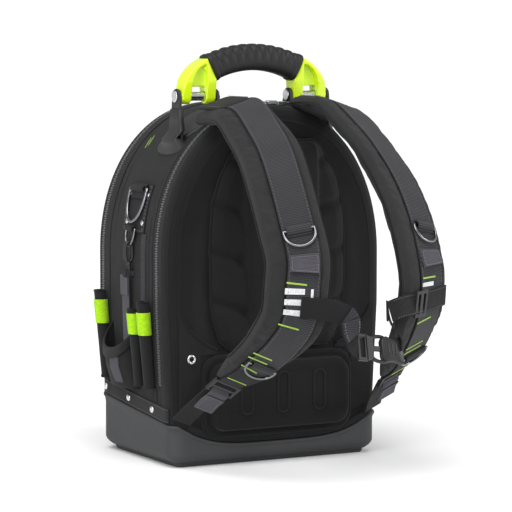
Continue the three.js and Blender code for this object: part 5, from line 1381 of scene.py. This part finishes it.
def make_chest():
    """The chest strap in its two halves, with its grey tab and the folded run through the slider."""
    along, _, face = buckle_frame()
    share = 0.7475
    edge = on_strap(-1, share, STRAP_WIDTH / 2, 2.8)
    middle = np.array([11.0, edge[1] - 6.0, edge[2] - 49.0])
    plug_end = middle - along * 31.0

    start = on_strap(-1, share, 4.0, 2.9)
    knee = on_strap(-1, share, 30.0, 2.9)
    path = smooth_path([start, knee, edge + np.array([9, -2, -3]), edge + np.array([22, -6, -12]),
                        plug_end + np.array([-11, -3, 17]), plug_end + np.array([-4, -1, 3]),
                        plug_end + along * 4 - face * 1.5, plug_end + along * 13 - face * 1.5], 70)
    faces = [strap_face(-1, share)[0], (-0.2, -0.95, 0.0), (0.35, -0.9, 0.2), face]
    normal = unit(at_places(np.linspace(0, 1, 70), [0, 0.35, 0.75, 1], faces))
    left = Shape().sweep(path, normal, strip_section(25.0, 1.8, 9))
    left.piece("chest_web_left", "web", stands_for=["chest_strap_left"])
    tab = Shape()
    part, lifted = path[34:52] + normal[34:52] * 2.1, normal[34:52]
    tab.sweep(part, lifted, strip_section(25.6, 1.5, 9))
    tab.sweep(part[4:] + lifted[4:] * 1.6, lifted[4:], strip_section(25.6, 1.2, 9))
    tab.piece("chest_tab_fold", "dark_grey_web", stands_for=["chest_tab"])
    rows = Shape()
    crossing = unit(np.cross(tangents(part), lifted))
    for x in (-10.5, 10.5):
        rows.stitches(part[5:] + crossing[5:] * x + lifted[5:] * 3.1, lifted[5:], 3.0, 2.0)
    rows.piece("chest_tab_stitches", "grey_thread", sharp=0)

    socket_end = middle + along * 31.0
    fold = np.array([27.0, edge[1] - 1.0, edge[2] - 6.0])
    right_edge = on_strap(1, share, -STRAP_WIDTH / 2, 2.8)
    front = [fold, fold + (right_edge - fold) * 0.5 + np.array([0, -1, 1]), on_strap(1, share, -30.0, 3.0),
             on_strap(1, share, 0.0, 3.0), on_strap(1, share - 0.006, 30.0, 3.0)]
    path = smooth_path(front, 60)
    faces = [(0, -1, 0), (0.2, -0.95, 0.1), strap_face(1, share)[0]]
    out = unit(at_places(np.linspace(0, 1, 60), [0, 0.4, 1], faces))
    right = Shape().sweep(path, out, strip_section(25.0, 1.8, 9))
    riser = smooth_path([socket_end + np.array([0, 5, 0]), socket_end + np.array([1, 8, 14]),
                         fold + np.array([6, 9, -14]), fold + np.array([1, 7, -2]),
                         fold + np.array([-3, 3, 1])], 40)
    depth = np.array([math.cos(math.radians(28)), -math.sin(math.radians(28)), 0])
    right.sweep(riser, np.broadcast_to(depth, riser.shape), strip_section(25.0, 1.8, 9))
    right.piece("chest_web_right", "web", stands_for=["chest_strap_right"])
    rows = Shape()
    crossing = unit(np.cross(tangents(path), out))
    for x in (-10.5, 10.5):
        rows.stitches(path[4:] + crossing[4:] * x + out[4:] * 1.8, out[4:], 3.4, 2.2)
    rows.piece("chest_web_stitches", "black_thread", sharp=0)


# The left side: patch, hooks, pouch and sleeves

def side_point(z, lift):
    """A point (x, z) of the left side, moved outwards by lift."""
    if z <= SPRING:
        return np.array([-float(side_half_width(z)) - lift, z])
    share = ((z - SPRING) / RISE) ** POWER
    x = HALF_WIDTH * (1 - share) ** (1 / POWER)
    normal = dome_slope(x, z)
    return np.array([-x - normal[0] * lift, z + normal[1] * lift])


def side_frame(z, y, lift):
    point = side_point(z, lift)
    further = side_point(z, lift + 1.0)
    normal = unit(further - point)
    return np.array([point[0], y, point[1]]), np.array([normal[0], 0, normal[1]])


def side_strip(shape, y, width, z_low, z_high, lift, thick, count=40):
    """An upright band on the left side."""
    frames = [side_frame(z, y, lift) for z in np.linspace(z_low, z_high, count)]
    path = np.array([f[0] for f in frames])
    out = np.array([f[1] for f in frames])
    shape.sweep(path, out, strip_section(width, thick, 7))


def make_side_patch():
    """The riveted patch on the side and the loops of webbing that hold its two rings."""
    patch = Shape()
    side_strip(patch, PATCH_Y, 60.0, 279.5, 338.0, 0.35, 2.0, 24)
    patch.piece("ring_patch", "nylon", stands_for=["side_patch"], sharp=30)
    rows = Shape()
    for shift in (-27.5, -24.5, 24.5, 27.5):
        frames = [side_frame(z, PATCH_Y + shift, 2.4) for z in np.linspace(282, 336, 40)]
        rows.stitches(np.array([f[0] for f in frames]), np.array([f[1] for f in frames]))
    for z in (282.0, 335.5):
        point, out = side_frame(z, PATCH_Y, 2.4)
        line = np.array([point + np.array([0, y, 0]) for y in np.linspace(-27, 27, 40)])
        rows.stitches(line, out)
    rows.piece("ring_patch_stitches", "black_thread", sharp=0)
    loops = Shape()
    for (x, z), wire, width in ((SIDE_BAR, 4.5, 36.5), (HOOK_BAR, 3.0, 17.0)):
        reach = wire / 2 + 0.5
        turn = np.linspace(-0.6 * math.pi, 0.75 * math.pi, 22)
        arc = np.column_stack([x - reach * np.cos(turn), np.full(22, PATCH_Y), z + reach * np.sin(turn)])
        low, _ = side_frame(z - 13, PATCH_Y, 2.6)
        high, _ = side_frame(z + 4, PATCH_Y, 2.6)
        path = np.vstack([low, arc, high])
        out = unit(np.cross(np.broadcast_to([0, 1.0, 0], path.shape), tangents(path)))
        if out[12].dot([-1, 0, 0]) < 0:
            out = -out
        loops.sweep(path, out, strip_section(width, 1.4, 7), side=np.broadcast_to([0, 1.0, 0], path.shape))
    loops.piece("ring_patch_loops", "web")
    heads = Shape()
    for y, z in ((-33.0, 325.0), (9.0, 325.0), (-33.0, 292.0), (9.0, 292.0)):
        point, out = side_frame(z, y, 2.3)
        heads.dome(point, out, [(0.1, -0.4), (3.2, -0.4), (3.3, 0.2), (2.6, 0.9), (1.4, 1.2), (0.1, 1.3)])
    heads.piece("ring_patch_rivets", "steel", sharp=35)


# The two rings: piece, node, body, place of the bar, width, reach and wire
SIDE_RINGS = (
    ("side_ring_round", "side_ring", "side_ring_body", SIDE_BAR, 50.0, 44.0, 4.5),
    ("hook_ring_round", "hook_ring", "bag", HOOK_BAR, 26.0, 22.0, 3.0),
)


def make_side_rings():
    """The large ring on the patch and the small one that holds the hooks, each hanging from its bar."""
    for name, node, body, bar, width, reach, wire in SIDE_RINGS:
        low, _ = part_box(node)
        bar = np.array([bar[0], PATCH_Y, bar[1]])
        tip = np.array([low[0] / MM + wire / 2, PATCH_Y, low[2] / MM + wire / 2])
        make_ring(name, node, body, bar, (0, 1, 0), unit(tip - bar), width, reach, wire)


def make_snap_hooks():
    """Two black snap hooks: a gated loop, a swivel and a flat eye."""
    for place in (1, 2):
        low, high = [np.array(v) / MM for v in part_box(f"snap_hook_{place}")]
        x, y = (low[0] + high[0]) / 2, (low[1] + high[1]) / 2
        top, foot = high[2], low[2]
        half = 4.5
        loop_low = top - 27.0
        turn = np.linspace(0, 2 * math.pi, 60, endpoint=False)
        stretch = (top - loop_low) / 2 - 1.6
        loop = np.column_stack([x + half * bent(np.cos(turn), 0.8), np.full(60, y),
                                (top + loop_low) / 2 + stretch * bent(np.sin(turn), 0.8)])
        hook = Shape().tube(loop, 1.55, 10, True)
        swivel = [(0.1, -2), (2.0, -2), (2.1, 0), (2.1, 2.5), (1.6, 3.0), (1.6, 5.2), (2.1, 5.6), (2.1, 9),
                  (0.1, 9.5)]
        hook.dome((x, y, loop_low - 0.5), (0, 0, -1), swivel, 16)
        eye = rounded_ring(5.6, foot, foot + 9.0, 2.4, y, 6)
        eye[:, 0] += x
        hook.tube(eye, 1.3, 8, True)
        hook.block((x + 4.4, y, (top + loop_low) / 2 - 2), (0, 0, 1), (0, 1, 0), (1, 0, 0), (9.0, 3.6, 2.0))
        hook.piece(f"snap_hook_body_{place}", "plastic", stands_for=[f"snap_hook_{place}"], sharp=40)


def make_accessory_strap():
    low, high = [np.array(v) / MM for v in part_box("accessory_strap")]
    y = (low[1] + high[1]) / 2
    top, foot = high[2], low[2]
    x_top, x_foot = low[0] + 1.4, high[0] - 1.5
    path = smooth_path([(x_top, y, top + 2), (x_top + 0.4, y, top - 20), (x_top + 1.6, y, top - 62),
                        (x_foot, y, foot)], 60)
    shape = Shape().sweep(path, (-1.0, 0, 0), strip_section(19.0, 1.6, 9))
    shape.sweep(path[:14] + np.array([-1.9, 0, 0]), (-1.0, 0, 0), strip_section(19.4, 1.5, 9))
    shape.piece("accessory_web", "grey_web", stands_for=["accessory_strap"])
    rows = Shape()
    for x in (-7.5, 7.5):
        rows.stitches(path[:14] + np.array([-3.5, x, 0]), (-1.0, 0, 0), 3.0, 2.0)
    rows.piece("accessory_web_stitches", "grey_thread", sharp=0)
    upright = Shape()
    side_strip(upright, -41.0, 12.0, 197.0, 279.0, 0.4, 1.6)
    upright.piece("side_web_strip", "dark_grey_web")


def pouch_section(z, reach, inset, count=40):
    back = float(side_half_width(z)) + 0.3 + inset
    turn = np.linspace(-math.pi / 2, math.pi / 2, count)
    x = back + (reach - 2 * inset) * np.cos(turn).clip(0) ** 0.8
    y = 14.0 + (35.0 - inset) * np.sin(turn)
    return np.column_stack([-x, y, np.full(count, z)])


def make_pouch():
    """The open pouch: a bellied fabric pocket with a bound rim that slopes down and out."""
    reach, foot, low_rim, high_rim = 28.0, 88.0, 136.0, 166.0
    top = high_rim + 10
    heights = np.linspace(foot, top, 40)
    shares = np.interp(heights, [foot, foot + 0.3 * (top - foot), top], [0.55, 0.85, 1.0])
    rim_ring = pouch_section(high_rim, reach, 0.4)
    slope = (high_rim - low_rim) / reach
    back = float(side_half_width(high_rim))
    rim_z = high_rim - slope * (-rim_ring[:, 0] - back)
    rows = []
    for k in np.linspace(0, 1, 30):
        ring = []
        for j in range(rim_ring.shape[0]):
            z = foot + k * (rim_z[j] - foot)
            share = np.interp(z, heights, shares)
            ring.append(pouch_section(z, reach * share, 0.4)[j])
        rows.append(ring)
    rows = np.array(rows)
    flat = rows.reshape(-1, 3)
    flat[:, 0] += 0.9 * (0.5 + 0.5 * soft_noise(flat, 15.0, 5.0))
    pouch = Shape().grid(flat.reshape(rows.shape))
    item = pouch.piece("pouch_cloth", "lit_side_nylon", stands_for=["tool_pouch"], sharp=0)
    thicken(item, 1.4, 0)
    floor = Shape()
    floor.grid(np.array([rows[0], rows[0] + np.array([0, 0, 1.4])]), wrap=True, caps=True)
    floor.piece("pouch_floor", "lit_side_nylon", sharp=30)
    bound = Shape()
    bound.tube(rows[-1], 1.5, 8)
    hem = rows[-1] - np.array([0, 0, 6.0])
    away = unit((hem - [-HALF_WIDTH, 14.0, 0]) * [1, 1, 0])
    bound.sweep(hem + away * 0.9, away, strip_section(12.0, 1.3, 7),
                side=np.broadcast_to([0, 0, 1.0], hem.shape))
    bound.piece("pouch_binding", "web", sharp=50)
    panel = Shape()
    panel.grid(rows[4:-4, 12:20] + np.array([-1.4, 0, 0]))
    grey = panel.piece("pouch_panel", "grey_web", sharp=0)
    thicken(grey, 0.9, 0)


# Sleeves: place along the bag, height of the mouth, and the bright band's ends as shares of the height
SLEEVE_DRAW = 0.84
SLEEVES = [(1, -61.0, 199.0, 0.62, 0.88), (2, -34.0, 188.0, 0.68, 0.95), (3, 60.0, 203.0, 0.63, 0.9)]


def make_sleeves():
    """Tool sleeves: soft black tubes with a bright band that stands proud, and a bound mouth."""
    foot_z, radius = 94.0, 9.5
    for place, y, top, band_low, band_high in SLEEVES:
        height = top - foot_z
        foot = SLEEVE_DRAW * radius
        low_x = float(side_half_width(foot_z)) + 0.3 + foot
        high_x = HALF_WIDTH + 0.9 + 1.0 + radius
        slope = (high_x - low_x) / (band_high * height)

        def ring(z, r, count=36):
            turn = np.arange(count) * 2 * math.pi / count
            centre = np.array([-(low_x + slope * (z - foot_z)), y])
            return np.column_stack([centre[0] + r * np.cos(turn), centre[1] + r * np.sin(turn),
                                    np.full(count, z)])

        def at(share):
            return (foot + (radius - foot) * share) * SLEEVE_DRAW

        profile = [(0.0, 0.4 * foot), (0.0, 0.9 * foot), (0.01, foot)]
        profile += [(share, at(share)) for share in np.linspace(0.04, 0.985, 30)]
        profile += [(1.0, at(1) - 0.3), (1.0, at(1) - 1.4), (0.985, at(1) - 1.9)]
        profile += [(share, at(share) - 1.9) for share in np.linspace(0.95, 0.05, 12)]
        profile.append((0.04, 0.3 * foot))
        rows = np.array([ring(foot_z + s * height, r) for s, r in profile])
        flat = rows.reshape(-1, 3)
        centre = np.column_stack([-(low_x + slope * (flat[:, 2] - foot_z)), np.full(len(flat), y),
                                  flat[:, 2]])
        away = flat - centre
        flat = centre + away * (1 - 0.03 * (1 + soft_noise(flat, 12.0, place * 3.0)))[:, None]
        sleeve = Shape().grid(flat.reshape(rows.shape), wrap=True, caps=True)
        sleeve.piece(f"sleeve_cloth_{place}", "sleeve_cloth", stands_for=[f"tool_sleeve_{place}"], sharp=0)
        band = Shape()
        profile = [(band_low, -0.2), (band_low, 0.8), (band_low + 0.01, 1.0)]
        profile += [(s, 1.0) for s in np.linspace(band_low + 0.03, band_high - 0.03, 8)]
        profile += [(band_high - 0.01, 1.0), (band_high, 0.8), (band_high, -0.2)]
        rows = np.array([ring(foot_z + s * height, at(s) + out) for s, out in profile])
        band.grid(rows, wrap=True)
        band.piece(f"sleeve_band_{place}", "lime_cloth", sharp=40)
        mouth = Shape()
        mouth.tube(ring(foot_z + height, at(1) - 0.9), 1.2, 8, True)
        mouth.piece(f"sleeve_mouth_{place}", "binding", sharp=0)


# Handle

def make_grip():
    """The moulded grip, with ribs over its upper half and bevelled collars at its ends."""
    radius, thick, angle, depth = 155.0, 35.0, math.radians(26), 32.0
    centre = HANDLE_TOP - radius
    rows = []
    turns = np.linspace(-angle, angle, 220)
    for turn in turns:
        share = abs(turn) / angle
        rib = 0.5 + 0.5 * math.cos(turn / angle * math.pi * 11)
        cut = smoothstep(0.86 - share, 0.0, 0.06)
        collar = smoothstep(share, 0.9, 0.93) * (1 - smoothstep(share, 0.985, 1.0) * 0.8)
        ring = []
        for k in np.arange(40) * 2 * math.pi / 40:
            c, s = math.cos(k), math.sin(k)
            out = bent(s, 0.62) * thick / 2
            side = bent(c, 0.62) * depth / 2
            groove = cut * (1 - rib) ** 2 * smoothstep(s, -0.1, 0.35) * 2.0
            shrink = 1 - (0.06 + groove / (thick / 2)) + 0.06 * collar
            ring.append((side * shrink, (radius - thick / 2) + out * shrink))
        rows.append([(r * math.sin(turn), HANDLE_Y + y, centre + r * math.cos(turn)) for y, r in ring])
    shape = Shape().grid(np.array(rows), wrap=True, caps=True)
    shape.piece("grip_moulding", "grip", "handle", ["handle_grip"], sharp=0)


def moulded(node, look, body="bag", voxel=0.8, rounds=6):
    """A moulded copy of a rigid node, with softly rounded edges."""
    item = bpy.data.objects.new(f"{node}_moulding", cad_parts[node].data.copy())
    scene.collection.objects.link(item)
    material, slot = LOOKS[look]
    item.data.materials.clear()
    item.data.materials.append(material)
    remesh = item.modifiers.new("remesh", "REMESH")
    remesh.mode = "VOXEL"
    remesh.voxel_size = voxel * MM
    remesh.use_smooth_shade = True
    ease = item.modifiers.new("ease", "SMOOTH")
    ease.factor = 0.5
    ease.iterations = rounds
    apply_modifiers(item)
    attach(item, body)
    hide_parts(node)


def dome_place(run, y, lift, side):
    """A point on the dome, by the run outwards from a bracket's ear."""
    points, normals, along = DOME
    place = EAR_RUN - run
    x, z, nx, nz = [np.interp(place, along, column) for column in (*points.T, *normals.T)]
    return np.array([side * (x + nx * lift), y, z + nz * lift])


DOME = arch(count=3000)
EAR_RUN = float(np.interp(-EAR_X, -DOME[0][600:1500, 0], DOME[2][600:1500]))


# The upper part of a skirt round its ear: height and half widths
EAR_ROWS = ((430.0, 3.7, 12.4), (416.0, 3.9, 14.2), (404.0, 4.3, 16))
# Its spreading foot: lift over the dome, reach inwards and outwards, half width along the bag and its shift
SKIRT_ROWS = ((14, 4.8, 5.2, 18.4, 0), (10, 5.6, 6.8, 20.5, 1), (7, 6.8, 9, 24.5, 3.5),
              (4.8, 7, 12, 28.5, 7),
              (3.2, 8, 14, 31.5, 9.5), (1.6, 8.5, 15.4, 33, 10.5), (0.5, 8.5, 15.6, 33.4, 10.5))
# Bright tacks on the shoulders: run over the dome and place along the bag, at either end
SHOULDER_TACKS = ((-12, 37, 4, 33), (-8, 41, 8, 37), (11, -62, 26, -66), (11, -66.5, 26, -70.5))


def make_skirts():
    """The smooth skirts between the outer ears of the brackets and the bag, and the bright tacks."""
    turn = np.arange(36) * 2 * math.pi / 36
    cos, sin = bent(np.cos(turn), 0.85), bent(np.sin(turn), 0.85)
    for side, word in SIDES:
        rows = []
        for z, half_x, half_y in EAR_ROWS:
            rows.append(np.column_stack([side * (EAR_X + half_x * bent(cos, 0.45)),
                                         HANDLE_Y + half_y * bent(sin, 0.45), np.full(36, z)]))
        for lift, inner, outer, half_y, shift in SKIRT_ROWS:
            reach = np.where(cos > 0, outer, inner)
            rows.append(np.array([dome_place(r, HANDLE_Y + shift + half_y * k, lift, side)
                                  for r, k in zip(reach * cos, sin)]))
        Shape().grid(np.array(rows), wrap=True, caps=True).piece(f"bracket_skirt_{word}", "saddle", sharp=0)
        tacks = Shape()
        for run, y, run_end, y_end in SHOULDER_TACKS:
            line = np.column_stack([np.linspace(run, run_end, 16), np.linspace(y, y_end, 16)])
            tacks.tube(np.array([dome_place(r, v, 0.55, side) for r, v in line]), 0.45, 6)
        tacks.piece(f"shoulder_tacks_{word}", "lime_thread", sharp=0)


def make_foot_binding():
    """The ribbed strip along the foot of the worn side, over the edge of the base."""
    x = np.linspace(-122, 122, 90)
    z = SCOOP_LOW + (RIM_REAR - SCOOP_LOW) * np.abs(x / SCOOP_HALF) ** SCOOP_POWER + 5.5
    path = np.column_stack([x, np.full(90, PAD_BACK - 0.6), z])
    out = np.broadcast_to([0, -1.0, 0], path.shape)
    side = unit(np.cross(tangents(path), out))
    strip = Shape().sweep(path, out, strip_section(8.5, 2.4, 7, 1.5), side=side)
    strip.piece("foot_binding", "web", sharp=50)


def plate(shape, centre, axes, outline, levels):
    """A plate with eased edges: outline in the first two axes, levels as (inset, lift)."""
    outline = np.asarray(outline, float)
    middle = outline.mean(axis=0)
    rows = []
    for inset, lift in levels:
        flat = outline - unit(outline - middle) * inset
        rows.append(centre + flat[:, :1] * axes[0] + flat[:, 1:] * axes[1] + lift * axes[2])
    return shape.grid(np.array(rows), wrap=True, caps=True)


def ladder(shape, centre, axes, length, width, thick, bars):
    """A frame of two rails and cross bars."""
    along, across, out = axes
    for v in (-1, 1):
        shape.block(centre + across * v * (width - 4) / 2, along, across, out, (length, 4.0, thick))
    for u in bars:
        shape.block(centre + along * u + out * 0.6, across, along, out, (width - 2, 3.2, thick * 0.8))


def make_buckle():
    """The side-release buckle: a ladder with two sprung prongs, and a waisted socket."""
    axes = along, across, face = buckle_frame()
    low, high = [np.array(v) / MM for v in (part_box("buckle_plug")[0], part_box("buckle_socket")[1])]
    middle = (low + high) / 2
    levels = [(2.4, -4.4), (0.6, -3.6), (0, -2.4), (0, 2.2), (0.6, 3.6), (2.6, 4.4)]
    socket = Shape()
    outline = [(1, -10), (3, -13.5), (8, -15.6), (13, -14.2), (18, -13.6), (23, -14.6), (26, -16),
               (30, -16), (30, 16), (26, 16), (23, 14.6), (18, 13.6), (13, 14.2), (8, 15.6), (3, 13.5),
               (1, 10)]
    plate(socket, middle, axes, outline, levels)
    for u in (10, 15, 20):
        socket.block(middle + along * u + face * 4.5, across, along, face, (12, 1.6, 1.2))
    socket.piece("buckle_socket_body", "plastic", stands_for=["buckle_socket"], sharp=35)
    plug = Shape()
    ladder(plug, middle - along * 23.5, axes, 13.0, 32.0, 5.0, (-5, 4.5))
    plate(plug, middle - along * 13.5, axes, [(-5, -15), (3, -13), (4, 0), (3, 13), (-5, 15)], levels[1:5])
    for v in (-1, 1):
        bends = ((-12, 11), (-6, 14.2), (1, 15.2), (6, 14.4), (9, 12.5))
        prong = smooth_path([middle + along * u + across * v * w for u, w in bends], 24)
        plug.tube(prong, np.linspace(2.6, 1.8, 24), 10)
    plug.block(middle - along * 4, along, across, face, (14, 6, 3.4))
    plug.piece("buckle_plug_body", "plastic", stands_for=["buckle_plug"], sharp=35)


def make_pulls():
    """Sliders, rings and flat pulls of the two zips."""
    for word in ("left", "right"):
        low, high = [np.array(v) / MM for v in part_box(f"zip_slider_{word}")]
        direction = -1 if word == "left" else 1
        end = low[0] if word == "left" else high[0]
        turn = np.linspace(0, 2 * math.pi, 24, endpoint=False)
        centre = np.array([end - direction * 2.5, REAR_ZIP, low[2] + 3.2])
        loop = centre + np.column_stack([3.6 * np.cos(turn), 3.6 * np.sin(turn) * 0.6,
                                         2.6 * np.sin(turn) * 0.8])
        Shape().tube(loop, 0.8, 8, True).piece(f"pull_ring_{word}", "steel", sharp=0)
        moulded(f"zip_slider_{word}", "steel", "bag", 0.4, 3)


make_camera()
make_stage()
make_shells()
make_piping()
make_facings()
make_zip("rear", REAR_ZIP, "rear_zip")
make_zip("front", FRONT_ZIP, "front_zip")
make_base()
make_base_band()
make_back_pad()
make_lumbar_pad()
make_hip_panels()
for side, word in SIDES:
    make_strap(side, word)
    make_strap_webbing(side, word)
    make_strap_marks(side, word)
    make_strap_tab(side, word)
    make_strap_rings(side, word)
    make_yoke_cover(side, word)
    make_adjuster(side, word)
make_chest()
make_side_patch()
make_side_rings()
make_snap_hooks()
make_accessory_strap()
make_pouch()
make_sleeves()
make_grip()
make_pulls()
make_skirts()
make_foot_binding()
make_buckle()
for word in ("left", "right"):
    moulded(f"bracket_{word}", "saddle", "bag", 0.8, 8)
    moulded(f"pin_{word}", "steel", "bag", 0.5, 8)
moulded("chest_slider", "plastic", "bag", 0.5, 3)
moulded("handle_frame", "lime_plastic", "handle", 0.9, 12)
